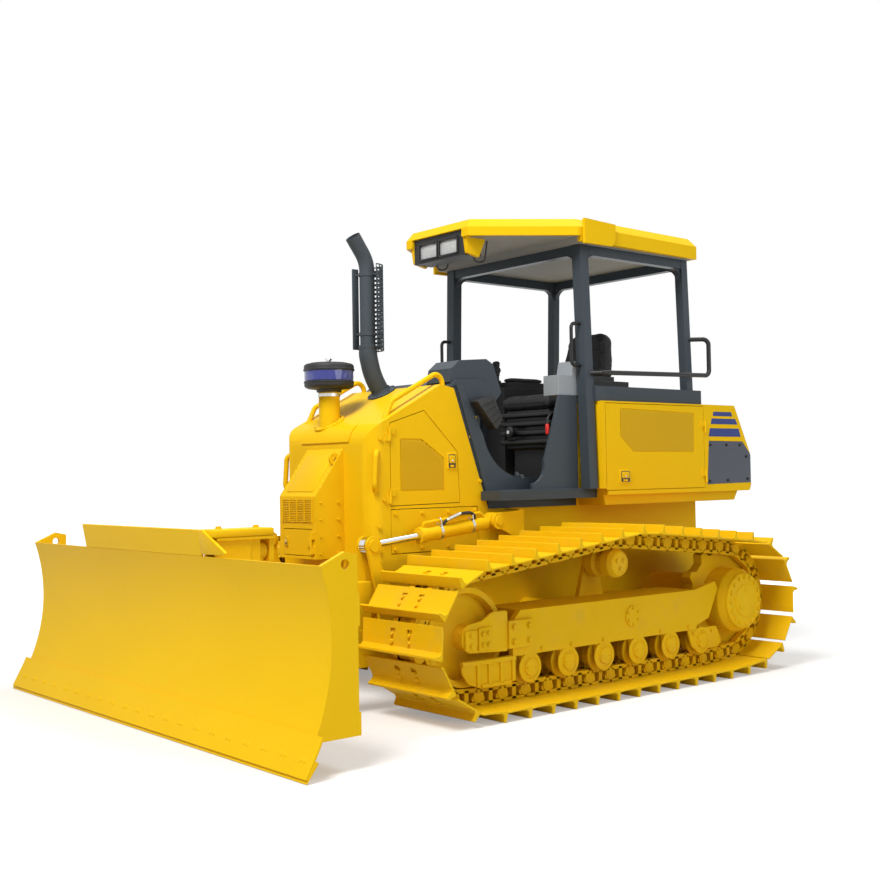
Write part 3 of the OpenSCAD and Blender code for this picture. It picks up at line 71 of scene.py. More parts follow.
class Value:
    """A socket of a finish, so that shader maths reads as plain expressions."""

    def __init__(self, finish, socket):
        self.finish = finish
        self.socket = socket

    def math(self, operation, *others):
        return self.finish.node("ShaderNodeMath", {"operation": operation}, (self, *others))

    def __add__(self, other):
        return self.math("ADD", other)

    __radd__ = __add__

    def __sub__(self, other):
        return self.math("SUBTRACT", other)

    def __mul__(self, other):
        return self.math("MULTIPLY", other)

    def __pow__(self, other):
        return self.math("POWER", other)

    def at_most(self, limit):
        return self.math("MINIMUM", limit)

    def wave(self):
        return self.math("SINE")

    def above(self, level, soft):
        """0 below the level and 1 over it, with a soft step between."""
        return self.finish.node("ShaderNodeMapRange", {"interpolation_type": "SMOOTHSTEP"},
                                {"Value": self, "From Min": level - soft, "From Max": level + soft})


class Finish:
    """A new material or world, and its node tree."""

    def __init__(self, name, family="materials"):
        self.owner = getattr(bpy.data, family).new(name)
        self.owner.use_nodes = True
        self.tree = self.owner.node_tree
        self.tree.nodes.clear()

    def node(self, kind, settings, inputs, out=0):
        made = self.tree.nodes.new(kind)
        for key, value in settings.items():
            setattr(made, key, value)
        for key, value in inputs.items() if isinstance(inputs, dict) else enumerate(inputs):
            if isinstance(value, Value):
                self.tree.links.new(value.socket, made.inputs[key])
            else:
                made.inputs[key].default_value = value
        return Value(self, made.outputs[out]) if made.outputs else None

    @cached_property
    def place(self):
        """The point on the surface, in the object's own coordinates."""
        return self.node("ShaderNodeTexCoord", {}, {}, "Object")

    def split(self, vector):
        return [self.node("ShaderNodeSeparateXYZ", {}, [vector], axis) for axis in "XYZ"]

    def noise(self, vector, scale, detail=2.0, rough=0.5):
        return self.node("ShaderNodeTexNoise", {},
                         {"Vector": vector, "Scale": scale, "Detail": detail, "Roughness": rough}, "Fac")

    def cells(self, vector, scale):
        return self.node("ShaderNodeTexVoronoi", {}, {"Vector": vector, "Scale": scale}, "Distance")

    def mix(self, factor, a, b):
        """A colour between two, by a factor that changes over the surface."""
        colours = [c if isinstance(c, Value) else (*c, 1.0) for c in (a, b)]
        return self.node("ShaderNodeMix", {"data_type": "RGBA"}, {0: factor, 6: colours[0], 7: colours[1]}, 2)

    def rounded(self, radius):
        """The surface's normal with its edges rounded off."""
        return self.node("ShaderNodeBevel", {"samples": 4}, {"Radius": radius})

    def bump(self, height, depth, strength=1.0, normal=None):
        inputs = {"Strength": strength, "Distance": depth, "Height": height}
        if normal is not None:
            inputs["Normal"] = normal
        return self.node("ShaderNodeBump", {}, inputs)

    def surface(self, sockets):
        self.node("ShaderNodeOutputMaterial", {}, [self.node("ShaderNodeBsdfPrincipled", {}, sockets)])
        return self.owner


def mm(*numbers):
    """Pairs in metres from a run of millimetres."""
    return tuple((a / 1000, b / 1000) for a, b in zip(numbers[::2], numbers[1::2]))


def tint(colour, share):
    return tuple(min(1.0, c * share) for c in colour)


# Finishes

PEEL = 330.0  # scale of sprayed paint's orange peel


def paint(name, colour, rough, coat, gloss=0.18, edge=0.003):
    """Sprayed paint: slow drift of shade, faint orange peel and a little dust in scattered specks."""
    f = Finish(name)
    drift = f.noise(f.place, 1.7, 3.0)
    speckle = f.noise(f.place, 38.0, 4.0, 0.6)
    shade = f.mix(drift, tint(colour, 0.95), tint(colour, 1.04))
    return f.surface({
        "Base Color": f.mix(speckle.above(0.66, 0.12) * 0.10, shade, tint(colour, 0.72)),
        "Roughness": rough + (speckle - 0.5) * 0.10, "Coat Weight": coat, "Coat Roughness": 0.22,
        "Specular IOR Level": gloss,
        "Normal": f.bump(f.noise(f.place, PEEL, 1.0), 0.0004, 0.22, f.rounded(edge)),
    })


def glossy_cover(name, colour):
    """Dark sprayed cover, glossier than the body's paint."""
    f = Finish(name)
    drift = f.noise(f.place, 3.0, 2.0)
    return f.surface({
        "Base Color": f.mix(drift, tint(colour, 0.85), tint(colour, 1.15)), "Roughness": 0.34 + drift * 0.06,
        "Coat Weight": 0.3, "Coat Roughness": 0.12,
        "Normal": f.bump(f.noise(f.place, PEEL, 1.0), 0.0004, 0.2, f.rounded(0.002)),
    })


def worn_paint(name, colour, rough):
    """Paint on running gear: duller, with dusty film and rubbed patches."""
    f = Finish(name)
    film = f.noise(f.place, 6.0, 5.0, 0.62)
    grit = f.noise(f.place, 90.0, 3.0, 0.6)
    shade = f.mix(film, tint(colour, 0.86), tint(colour, 1.0))
    return f.surface({
        "Base Color": f.mix(film.above(0.62, 0.16) * 0.25, shade, DUST),
        "Roughness": rough + (grit - 0.5) * 0.2, "Specular IOR Level": 0.08,
        "Normal": f.bump(grit, 0.0006, 0.3, f.rounded(0.002)),
    })


def moulded(name, colour, rough, grain=700.0, depth=0.0005, shades=(0.86, 1.16), gloss=0.45, behind=None):
    """Grained plastic or textured powder coat, which may change colour behind a station."""
    f = Finish(name)
    drift = f.noise(f.place, 4.0, 3.0)
    shade = f.mix(drift, *(tint(colour, share) for share in shades))
    if behind:
        rear, station = behind
        shade = f.mix(f.split(f.place)[0].above(station - MID, 0.002), rear, shade)
    return f.surface({
        "Base Color": shade, "Roughness": rough + (drift - 0.5) * 0.12, "Specular IOR Level": gloss,
        "Normal": f.bump(f.cells(f.place, grain), depth, 0.35, f.rounded(0.003)),
    })


def metal(name, colour, rough, brushed=0.0):
    """Bare or plated metal, with fine lines along X where it is brushed."""
    f = Finish(name)
    x, y, z = f.split(f.place)
    lines = f.noise(f.node("ShaderNodeCombineXYZ", {}, [x * 3.0, y * 240.0, z * 240.0]), 1.0, 2.0)
    film = f.noise(f.place, 9.0, 3.0)
    return f.surface({
        "Base Color": f.mix(film, tint(colour, 0.9), colour), "Metallic": 1.0,
        "Roughness": rough + (film - 0.5) * 0.08 + (lines - 0.5) * brushed,
        "Normal": f.bump(lines, 0.0002, 0.2 * (brushed > 0)),
    })


def vinyl(name, colour):
    """Seat cover with a woven grain."""
    f = Finish(name)
    x, y, z = [(axis * 1500.0).wave() for axis in f.split(f.place)]
    fold = f.noise(f.place, 14.0, 3.0)
    return f.surface({
        "Base Color": f.mix(fold, tint(colour, 0.8), tint(colour, 1.35)),
        "Roughness": 0.62 + (fold - 0.5) * 0.15, "Specular IOR Level": 0.35,
        "Normal": f.bump(f.cells(f.place, 420.0) + x * y * z * 0.25, 0.0006, 0.4),
    })


def clear(name, colour, rough, alpha):
    """Lens or tinted bowl: part see-through, with moulded streaks."""
    f = Finish(name)
    x, y, z = f.split(f.place)
    streak = f.noise(f.node("ShaderNodeCombineXYZ", {}, [x, y, z * 0.1]), 60.0, 2.0)
    return f.surface({
        "Base Color": f.mix(streak, tint(colour, 0.75), colour), "Roughness": rough, "Alpha": alpha,
        "Specular IOR Level": 0.6, "Coat Weight": 0.6, "Coat Roughness": 0.05,
    })


def pressed(name, colour):
    """Painted sheet with fine rows of pressed slots, and painted shade inside the slots."""
    f = Finish(name)
    x, _, z = f.split(f.place)
    row = (z * (math.tau / 0.0125)).wave()
    slot = ((x * (math.tau / 0.0090)).wave() * (z * (math.tau / 0.0062)).wave()).above(0.25, 0.30)
    return f.surface({
        # Painted shade: the slot mask darkens the colour inside the slots, where the recesses would be in shade
        "Base Color": f.mix(slot, tint(colour, 0.90), tint(colour, 0.58)), "Roughness": 0.5 + row * 0.05,
        "Specular IOR Level": 0.18, "Normal": f.bump(slot, 0.001, 0.4),
    })


yellow = paint("yellow_gloss", YELLOW, 0.42, 0.02, 0.06)
track_yellow = worn_paint("track_yellow", YELLOW, 0.50)
pressed_yellow = pressed("pressed_yellow", YELLOW)
dark_grey = paint("dark_grey_satin", DARK_GREY, 0.42, 0.12)
soot = paint("heat_grey", (0.058, 0.070, 0.082), 0.55, 0.0)
navy = glossy_cover("navy_cover", NAVY)
stripe_blue = paint("stripe_blue", STRIPE_BLUE, 0.36, 0.3)
black_paint = paint("black_satin", tint(BLACK, 1.6), 0.36, 0.15)
black_plastic = moulded("black_grain", BLACK, 0.55)
red_plastic = moulded("red_grip", (0.55, 0.012, 0.010), 0.4)
blue_bowl = clear("blue_bowl", (0.035, 0.05, 0.36), 0.12, 0.80)
console_grey = moulded("console_grain", CONSOLE_GREY, 0.5, 500.0)
two_tone_console = moulded("two_tone_console", CONSOLE_GREY, 0.5, 500.0, shades=(0.9, 1.1), gloss=0.4,
                           behind=(tint(BLACK, 1.3), -0.290))
roof_liner = moulded("roof_liner", (0.31, 0.315, 0.30), 0.7, 260.0, 0.0006)
rubber = moulded("bellows_rubber", tint(BLACK, 0.9), 0.5, 300.0, 0.0008)
seat_cover = vinyl("seat_weave", tint(BLACK, 1.3))
iron = moulded("engine_casting", (0.075, 0.075, 0.075), 0.62, 160.0, 0.0012)
chrome = metal("hard_chrome", (0.80, 0.81, 0.82), 0.10)
zinc = metal("zinc_plate", (0.62, 0.62, 0.60), 0.34, 0.1)
lens = clear("lamp_lens", (0.80, 0.82, 0.82), 0.10, 0.55)
reflector = metal("lamp_reflector", (0.86, 0.87, 0.88), 0.16)

# The record's slots and their finishes; the first one dresses the slot's CAD nodes
SLOTS = {
    "yellow_paint": (yellow, track_yellow, pressed_yellow),
    "dark_grey_paint": (dark_grey, soot, navy, stripe_blue),
    "black_paint": (black_paint,),
    "black_plastic": (black_plastic, red_plastic, blue_bowl),
    "grey_plastic": (console_grey, two_tone_console, roof_liner),
    "seat_rubber": (rubber,),
    "seat_vinyl": (seat_cover,),
    "engine_iron": (iron,),
    "chrome_rod": (chrome, zinc),
    "lamp_glass": (lens, reflector),
}
SLOT_OF = {finish: slot for slot, finishes in SLOTS.items() for finish in finishes}
OWN_FINISH = {"rear_corner_covers": navy, "side_consoles": two_tone_console}
for node_name in ("track_left", "track_right", "idlers", "track_rollers", "carrier_rollers", "sprockets",
                  "track_frames", "final_drives"):
    OWN_FINISH[node_name] = track_yellow

# Edge rounding of CAD nodes, in metres
EDGE = {name: width for width, names in (
    (0.002, "cutting_edge"),
    (0.003, "mouldboard spill_guard hood_side_panels rear_corner_covers control_levers"),
    (0.004, "engine_door_left engine_door_right operator_platform final_drives"),
    (0.005, "rear_panel_left rear_panel_right front_grille drawbar"),
    (0.006, "bolster"), (0.007, "c_frame"), (0.008, "track_frames main_frame"), (0.009, "seat_suspension"),
    (0.010, "hood_shell"), (0.012, "rear_body"), (0.014, "side_consoles"), (0.018, "dash_console"),
    (0.020, "roof_panel"),
) for name in names.split()}


def round_edges(thing, width, segments, angle):
    """A modifier that rounds the edges that turn more than an angle."""
    edge = thing.modifiers.new("edge", "BEVEL")
    edge.width = width
    edge.segments = segments
    edge.limit_method = "ANGLE"
    edge.angle_limit = math.radians(angle)


def dress(name, node, slot):
    """Gives a CAD node its finish and rounds its edges, without touching its mesh."""
    node.data.materials.clear()
    node.data.materials.append(OWN_FINISH.get(name, SLOTS[slot][0]))
    if name in EDGE:
        node.modifiers.new("weld", "WELD").merge_threshold = 0.00002
        flat = node.modifiers.new("flat", "DECIMATE")
        flat.decimate_type = "DISSOLVE"
        flat.angle_limit = math.radians(0.5)
        round_edges(node, EDGE[name], 2, 28)
        node.modifiers.new("shade", "WEIGHTED_NORMAL")


for subpart in frame["record"]["subparts"]:
    dress(subpart["node"], nodes[subpart["node"]], subpart["material_slot"])


# Mesh tools

def turn_to(axis):
    """Rotation that takes +Z to an axis."""
    return Vector(UP).rotation_difference(Vector(axis).normalized()).to_matrix().to_4x4()


def side_matrix(y, sign=1):
    """Plane of an outline in station and height on the machine's side, with its thickness outwards."""
    return Matrix(((1, 0, 0, -MID), (0, 0, sign, y * sign), (0, 1, 0, 0), (0, 0, 0, 1)))


def face_matrix(origin, across, up):
    """Plane through a point, with its X and Y given and its thickness along their cross product."""
    across, up = Vector(across).normalized(), Vector(up).normalized()
    return Matrix.Translation(origin) @ Matrix((across, up, across.cross(up))).transposed().to_4x4()


def box_outline(u0, v0, u1, v1):
    return ((u0, v0), (u1, v0), (u1, v1), (u0, v1))


def rounded_route(points, corner, arc_steps=7):
    """Points of a path whose corners are curves."""
    yield points[0]
    for before, here, after in zip(points, points[1:], points[2:]):
        reach = min(corner, (here - before).length / 2, (after - here).length / 2)
        start, end = here + (before - here).normalized() * reach, here + (after - here).normalized() * reach
        for i in range(arc_steps + 1):
            t = i / arc_steps
            yield start * (1 - t) ** 2 + here * 2 * t * (1 - t) + end * t * t
    yield points[-1]


def add_object(name, data):
    made = bpy.data.objects.new(name, data)
    scene.collection.objects.link(made)
    return made


def evaluated(thing):
    return thing.evaluated_get(bpy.context.evaluated_depsgraph_get())


class Shape:
    """A mesh in the making."""

    def __init__(self):
        self.bm = bmesh.new()

    def mesh(self, name):
        """The mesh so far, which ends the making."""
        mesh = bpy.data.meshes.new(name)
        self.bm.to_mesh(mesh)
        self.bm.free()
        return mesh

    def stamp(self, part, matrix):
        """A copy of another shape, at a place."""
        copy = Shape()
        copy.bm = part.bm.copy()
        bmesh.ops.transform(copy.bm, matrix=matrix, verts=copy.bm.verts)
        mesh = copy.mesh("stamp")
        self.bm.from_mesh(mesh)
        bpy.data.meshes.remove(mesh)

    def bevel(self, edges, offset, segments):
        bmesh.ops.bevel(self.bm, geom=edges, offset=offset, segments=segments, profile=0.5, affect="EDGES",
                        material=-1)

    def raised(self, corners, way):
        """A flat face, raised to a solid."""
        face = self.bm.faces.new([self.bm.verts.new(corner) for corner in corners])
        grown = bmesh.ops.extrude_face_region(self.bm, geom=[face])["geom"]
        bmesh.ops.translate(self.bm, verts=[v for v in grown if isinstance(v, bmesh.types.BMVert)], vec=way)

    def block(self, a, b, round_off=0.0, segments=2):
        """A block between two opposite corners, with its edges rounded."""
        low, high = (Vector(corner) for corner in zip(*(sorted(pair) for pair in zip(a, b))))
        size = Matrix.Diagonal((*(high - low), 1.0))
        made = bmesh.ops.create_cube(self.bm, size=1.0, matrix=Matrix.Translation((low + high) / 2) @ size)
        if round_off:
            self.bevel(list({e for v in made["verts"] for e in v.link_edges}), round_off, segments)

    def rod(self, a, b, r, steps=16, r_end=None):
        """A round bar or cone between two points."""
        a, b = Vector(a), Vector(b)
        bmesh.ops.create_cone(self.bm, cap_ends=True, segments=steps, radius1=r,
                              radius2=r if r_end is None else r_end, depth=(b - a).length,
                              matrix=Matrix.Translation((a + b) / 2) @ turn_to(b - a))

    def bolt(self, point, axis, r):
        """A hexagon head on its washer."""
        point, axis = Vector(point), Vector(axis).normalized()
        self.rod(point, point + axis * r * 0.25, r * 1.35, 14)
        self.rod(point + axis * r * 0.25, point + axis * r * 0.95, r, 6)

    def turned(self, origin, axis, profile, steps=32):
        """A body of revolution from radius and height pairs along an axis."""
        part = Shape()
        verts = [part.bm.verts.new((r, 0.0, h)) for r, h in profile]
        edges = [part.bm.edges.new(pair) for pair in zip(verts, verts[1:])]
        bmesh.ops.spin(part.bm, geom=verts + edges, cent=(0, 0, 0), axis=UP, angle=math.tau, steps=steps,
                       use_merge=True, use_duplicate=False)
        bmesh.ops.remove_doubles(part.bm, verts=part.bm.verts, dist=1e-6)
        self.stamp(part, Matrix.Translation(Vector(origin)) @ turn_to(axis))

    def plate(self, outline, thick, matrix, corner=0.0, round_off=0.0):
        """A plate of a flat outline, raised along its own Z, with round corners and a round rim."""
        part = Shape()
        part.raised([(u, v, 0.0) for u, v in outline], (0, 0, thick))
        edges = part.bm.edges
        if corner:
            part.bevel([e for e in edges if abs(e.verts[0].co.z - e.verts[1].co.z) > thick / 2], corner, 5)
        if round_off:
            part.bevel([e for e in edges if all(abs(v.co.z - thick) < 1e-6 for v in e.verts)], round_off, 2)
        self.stamp(part, matrix)

    def tube(self, points, r, corner=0.0, steps=10):
        """A round tube along points, with its corners swept round."""
        curve = bpy.data.curves.new("tube", "CURVE")
        curve.dimensions = "3D"
        curve.bevel_depth = r
        curve.bevel_resolution = max(1, steps // 4)
        curve.use_fill_caps = True
        route = list(rounded_route([Vector(p) for p in points], corner))
        spline = curve.splines.new("POLY")
        spline.points.add(len(route) - 1)
        for target, p in zip(spline.points, route):
            target.co = (*p, 1.0)
        holder = add_object("tube", curve)
        self.bm.from_mesh(bpy.data.meshes.new_from_object(evaluated(holder)))
        bpy.data.objects.remove(holder)

    def piece(self, name, material, body="chassis", sharp=35, round_off=0.0, instead_of=None):
        """Makes a piece of the shape, shades it and lets it ride on a body."""
        bmesh.ops.recalc_face_normals(self.bm, faces=self.bm.faces)
        mesh = self.mesh(name)
        mesh.polygons.foreach_set("use_smooth", [True] * len(mesh.polygons))
        mesh.set_sharp_from_angle(angle=math.radians(sharp))
        mesh.materials.append(material)
        piece = add_object(name, mesh)
        if round_off:
            round_edges(piece, round_off, 1, 40)
        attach(piece, body)
        if instead_of:
            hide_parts(instead_of)


# Tracks

TRACK_Y = 0.940
SHOES = 38
SHOE_HALF_W = 0.325
LINK_PITCH = 0.169
HALF_PITCH = LINK_PITCH / 2
GROUSER, SHOE_T, LINK_OUT, LINK_IN = 0.048, 0.010, 0.045, 0.043
SHOE_TOP = LINK_OUT + SHOE_T
PITCH_Z = GROUSER + SHOE_T + LINK_OUT
FIT = 0.0003
IDLER_TREAD = 0.260 + LINK_IN
IDLER_R = IDLER_TREAD + LINK_PITCH ** 2 / (8 * IDLER_TREAD) + FIT
SPROCKET_R = LINK_PITCH / (2 * math.sin(math.pi / 12))
ROLLER_Z = PITCH_Z + LINK_IN + 0.078 + FIT
# Station, height and radius of the circles that the chain's pins wrap
WRAPS = ((1.185, PITCH_Z + IDLER_R, IDLER_R), (0.010, 0.735, 0.134), (-1.038, 0.445, SPROCKET_R),
         (-0.780, ROLLER_Z, 0.1213))


def on_arc(x, z, r, start):
    """Point after a way along a wrapped circle."""
    return lambda s: (x + r * math.cos(start + s / r), z + r * math.sin(start + s / r))


def on_run(x, z, r, a):
    """Point after a way along the straight run that leaves a circle."""
    return lambda s: (x + r * math.cos(a) - s * math.sin(a), z + r * math.sin(a) + s * math.cos(a))


def chain_pins():
    """Stations and heights of the chain's pins, evenly spaced along its line."""
    normals, runs = [], []
    for (ax, az, ar), (bx, bz, br) in zip(WRAPS, WRAPS[1:] + WRAPS[:1]):
        gap = math.hypot(bx - ax, bz - az)
        normals.append(math.atan2(bz - az, bx - ax) - math.acos((ar - br) / gap))
        runs.append(math.sqrt(gap ** 2 - (ar - br) ** 2))
    stretches = []
    for i, (x, z, r) in enumerate(WRAPS):
        turn = (normals[i] - normals[i - 1]) % math.tau
        stretches += [(r * turn, on_arc(x, z, r, normals[i - 1])), (runs[i], on_run(x, z, r, normals[i]))]
    whole = sum(length for length, _ in stretches)
    for k in range(SHOES):
        s = (k + 0.5) * whole / SHOES
        for length, point in stretches:
            if s < length:
                yield Vector(point(s))
                break
            s -= length


def link_places(sign):
    """Matrix of each link: its own X runs with the chain, Y across and Z outwards from the pins."""
    pins = list(chain_pins())
    for a, b in zip(pins, pins[1:] + pins[:1]):
        run = (b - a).normalized()
        middle = (a + b) / 2
        yield Matrix(((run.x, 0, run.y, middle.x - MID), (0, -1, 0, sign * TRACK_Y),
                      (run.y, 0, -run.x, middle.y), (0, 0, 0, 1)))


def shoe_pattern():
    """A shoe with one bar across it, two mud slots and four bolts."""
    shoe = Shape()
    bm = shoe.bm
    # Distance from the plate's rear and front edges, and height
    rear, front = -HALF_PITCH, HALF_PITCH
    outline = (
        (rear + 0.003, LINK_OUT), (front - 0.030, LINK_OUT), (front + 0.002, LINK_OUT + 0.004),
        (front + 0.002, SHOE_TOP + 0.002), (front - 0.030, SHOE_TOP), (rear + 0.046, SHOE_TOP),
        (rear + 0.032, SHOE_TOP + 0.010), (rear + 0.026, SHOE_TOP + GROUSER),
        (rear + 0.014, SHOE_TOP + GROUSER), (rear + 0.003, SHOE_TOP))
    shoe.raised([(u, -SHOE_HALF_W, v) for u, v in outline], (0, 2 * SHOE_HALF_W, 0))
    # Slots: cut lines, take the faces out and close the walls between them
    slot_u = (front - 0.062, front - 0.034)
    slot_w = ((-0.088, -0.048), (0.048, 0.088))
    cuts = [((u, 0, 0), AHEAD) for u in slot_u] + [((0, w, 0), ACROSS) for pair in slot_w for w in pair]
    for point, axis in cuts:
        everything = bm.verts[:] + bm.edges[:] + bm.faces[:]
        bmesh.ops.bisect_plane(bm, geom=everything, plane_co=point, plane_no=axis)
    for low, high in slot_w:
        holes = [f for f in bm.faces if slot_u[0] < f.calc_center_median().x < slot_u[1]
                 and low < f.calc_center_median().y < high and abs(f.normal.z) > 0.9]
        rims = [e for e in {e for f in holes for e in f.edges} if sum(f in holes for f in e.link_faces) == 1]
        bmesh.ops.delete(bm, geom=holes, context="FACES_ONLY")
        bmesh.ops.bridge_loops(bm, edges=rims)
    for u in (-0.016, 0.022):
        for w in (-0.070, 0.070):
            shoe.rod((u, w, SHOE_TOP - 0.001), (u, w, SHOE_TOP + 0.012), 0.0125, 8, 0.0105)
    return shoe


def link_pattern():
    """One pair of link halves with their bosses, webs, nuts and the bush between them."""
    link = Shape()
    for sign in (-1, 1):
        inner, outer = sign * 0.050, sign * 0.0895
        # Tread, foot and the web between the two nut windows
        for u, low, high in ((HALF_PITCH - 0.012, -LINK_IN, -LINK_IN + 0.022),
                             (HALF_PITCH - 0.010, LINK_OUT - 0.013, LINK_OUT),
                             (0.014, -LINK_IN + 0.010, LINK_OUT - 0.002)):
            link.block((-u, inner, low), (u, outer, high))
        for end in (-1, 1):
            shift = 0.0 if end > 0 else -sign * 0.006
            nut_u, nut_z = end * (HALF_PITCH - 0.030), LINK_OUT - 0.030
            link.rod((end * HALF_PITCH, inner, 0), (end * HALF_PITCH, outer + shift, 0), 0.036, 18)
            link.rod((nut_u, outer - sign * 0.030, nut_z), (nut_u, outer - sign * 0.004, nut_z), 0.016, 6)
        link.rod((HALF_PITCH, outer - sign * 0.002, 0), (HALF_PITCH, outer + sign * 0.001, 0), 0.019, 12)
    link.rod((HALF_PITCH, -0.051, 0), (HALF_PITCH, 0.051, 0), 0.027, 16)
    return link


def tracks():
    shoe, link = shoe_pattern(), link_pattern()
    for side, sign in SIDES:
        shoes, links = Shape(), Shape()
        for matrix in link_places(sign):
            shoes.stamp(shoe, matrix)
            links.stamp(link, matrix)
        shoes.piece(f"track_shoes_{side}", track_yellow, round_off=0.0015, instead_of=f"track_{side}")
        links.piece(f"track_links_{side}", track_yellow)


tracks()

# Air pre-cleaner and exhaust

HOOD_UP = Vector((0.4635, 0.0, 0.8861))
HOOD_RUN = Vector((0.8861, 0.0, -0.4635))
CLEANER = (1.240, -0.100)
STACK_X, STACK_Y = 0.980, -0.060
PIPE_R, SLEEVE_R = 0.0465, 0.0560


def flange_bolts(shape, foot, radius, r):
    """Six bolts round a flange on the hood."""
    for i in range(6):
        turn = Matrix.Rotation(math.radians(60 * i + 30), 3, HOOD_UP)
        shape.bolt(foot + HOOD_UP * 0.011 + turn @ HOOD_RUN * radius, HOOD_UP, r)


def pre_cleaner():
    """Yellow stand tube with its clamp, black pan, core and cap, and the blue bowl between them."""
    ground, foot, top = (at(*CLEANER, z) for z in (0.0, 1.5775, 1.942))
    stand = Shape()
    stand.turned(ground, UP, mm(0, 1530, 62, 1530, 62, 1772, 0, 1772), 40)
    stand.turned(foot, HOOD_UP, mm(60, 0, 98, 0, 98, 8, 94, 11, 66, 12), 40)
    flange_bolts(stand, foot, 0.082, 0.008)
    stand.piece("cleaner_stand", yellow, instead_of="pre_cleaner")
    for name, material, profile in (
        ("cleaner_clamp", zinc, mm(63.5, 1738, 66.5, 1738, 66.5, 1756, 63.5, 1756)),
        ("cleaner_pan", black_plastic, mm(
            0, 1764, 70, 1764, 74, 1768, 76, 1779, 126, 1786, 141, 1793, 146.5, 1802, 146.5, 1818, 149, 1820,
            149, 1827, 145, 1829, 0, 1829)),
        ("cleaner_bowl", blue_bowl, mm(
            140, 1829, 144.5, 1831, 145.5, 1850, 145.5, 1880, 144.5, 1889, 140, 1889)),
        ("cleaner_core", black_plastic, mm(0, 1829, 105, 1829, 85, 1860, 105, 1889, 0, 1889)),
        ("cleaner_cap", black_plastic, mm(
            0, 1889, 149, 1889, 151.5, 1892, 151.5, 1899, 148.5, 1902, 148.5, 1915, 145, 1925, 136, 1931,
            118, 1933, 112, 1937, 30, 1942, 0, 1942)),
    ):
        part = Shape()
        part.turned(ground, UP, profile, 48)
        part.piece(name, material, sharp=40)
    nut = Shape()
    nut.rod(top, top + Vector((0, 0, 0.012)), 0.010, 12)
    for sign in (-1, 1):
        wing = [top + Vector((0, sign * y, z)) for y, z in ((0.006, 0.006), (0.030, 0.022))]
        nut.rod(*wing, 0.005, 8, 0.007)
    nut.piece("cleaner_wing_nut", zinc)


def stack(z, x=STACK_X):
    """A point in the stack's plane, on its upright axis where no station is given."""
    return at(x, STACK_Y, z)


def exhaust_pipe():
    """Stack with its wide foot, its long bend and its open mouth, and the guard's bands and arms."""
    pipe = Shape()
    mouth, foot = stack(2.703, 1.083), stack(1.7665, 0.8785)
    aim = Vector((0.098, 0.0, 0.136)).normalized()
    pipe.tube([stack(1.890, 0.955), stack(1.990), stack(2.560), mouth - aim * 0.055], PIPE_R, 0.150, 24)
    pipe.turned(mouth, aim, ((PIPE_R, -0.060), (0.0468, -0.001), (0.0455, 0.0), (0.0440, -0.001),
                             (0.0435, -0.050), (0.0, -0.050)))
    pipe.tube([stack(1.745, 0.868), stack(1.872, 0.950), stack(1.990), stack(2.030)], SLEEVE_R, 0.085, 24)
    pipe.turned(stack(2.028), UP, ((SLEEVE_R, 0.0), (0.0575, 0.004), (0.0575, 0.022), (0.047, 0.027)))
    pipe.turned(foot, HOOD_UP, mm(0, 0, 92, 0, 92, 8, 88, 11, 64, 13, 58, 30), 36)
    flange_bolts(pipe, foot, 0.077, 0.007)
    for z in (2.110, 2.470):
        pipe.turned(stack(z), UP, ((PIPE_R, 0.0), (0.0500, 0.0), (0.0500, 0.022), (PIPE_R, 0.022)))
        for turn, reach in ((110, 0.099), (170, 0.099), (230, 0.099), (302, 0.078)):
            arm = Vector((math.cos(math.radians(turn)), math.sin(math.radians(turn)), 0))
            pipe.rod(stack(z + 0.011) + arm * 0.046, stack(z + 0.011) + arm * reach, 0.006, 8)
    pipe.block(at(STACK_X + 0.018, STACK_Y - 0.072, 2.030), at(STACK_X + 0.062, STACK_Y - 0.060, 2.520),
               0.003)
    pipe.piece("exhaust_pipe", soot, sharp=40, instead_of="exhaust_stack")


def exhaust_shield():
    """A flat lattice of square holes, bowed round the stack."""
    rows, columns, radius, first, last = 19, 9, 0.098, 88.0, 246.0
    shield = Shape()
    bm = shield.bm
    bmesh.ops.create_grid(bm, x_segments=columns, y_segments=rows, size=0.5)
    holes = bm.faces[:]
    bmesh.ops.inset_individual(bm, faces=holes, thickness=0.26 / rows, use_even_offset=True)
    bmesh.ops.delete(bm, geom=holes, context="FACES_ONLY")
    for v in bm.verts:
        a = math.radians(first + (last - first) * (v.co.x + 0.5))
        z = 2.020 + 0.520 * (v.co.y + 0.5)
        v.co = at(STACK_X + radius * math.cos(a), STACK_Y + radius * math.sin(a), z)
    bmesh.ops.recalc_face_normals(bm, faces=bm.faces)
    bmesh.ops.solidify(bm, geom=bm.faces[:], thickness=0.003)
    shield.piece("exhaust_shield", soot, sharp=40, instead_of="exhaust_guard")


pre_cleaner()
exhaust_pipe()
exhaust_shield()

# Hood

HULL_Y = 0.440
GRILLE_X, GRILLE_TOP = 1.540, 1.157
SLOPE = Vector((0.195, 0.0, -0.268)).normalized()
SLOPE_OUT = Vector((0.268, 0.0, 0.195)).normalized()
RIVET = mm(6, -0.5, 5.5, 2, 3, 3.5, 0, 4)
PRESSED_PITCH = 0.0125
# Station and height of the sunk fields' corners
DOOR_FIELD = mm(818, 1183, 1131, 1183, 1131, 1468, 983, 1468, 818, 1360)
REAR_FIELD = mm(-1130, 1397, -525, 1397, -408, 1492, -408, 1660, -1133, 1645)
REAR_Y = 0.715


def grille_face(y=0, z=0):
    return face_matrix(at(GRILLE_X, y, z), ACROSS, UP)


def hood_mask():
    """Plain raised band across the hood's round nose."""
    mask = Shape()
    centre, inner, outer = Vector((1.205, 1.4379)), 0.1395, 0.1490
    rays = [Vector((math.cos(a), math.sin(a))) for a in (math.radians(8 + 5.4 * i) for i in range(10))]
    outline = [centre + outer * ray for ray in rays] + [centre + inner * ray for ray in reversed(rays)]
    mask.plate(outline, 0.476, side_matrix(-0.238))
    mask.piece("hood_mask", yellow, sharp=30, round_off=0.0030)


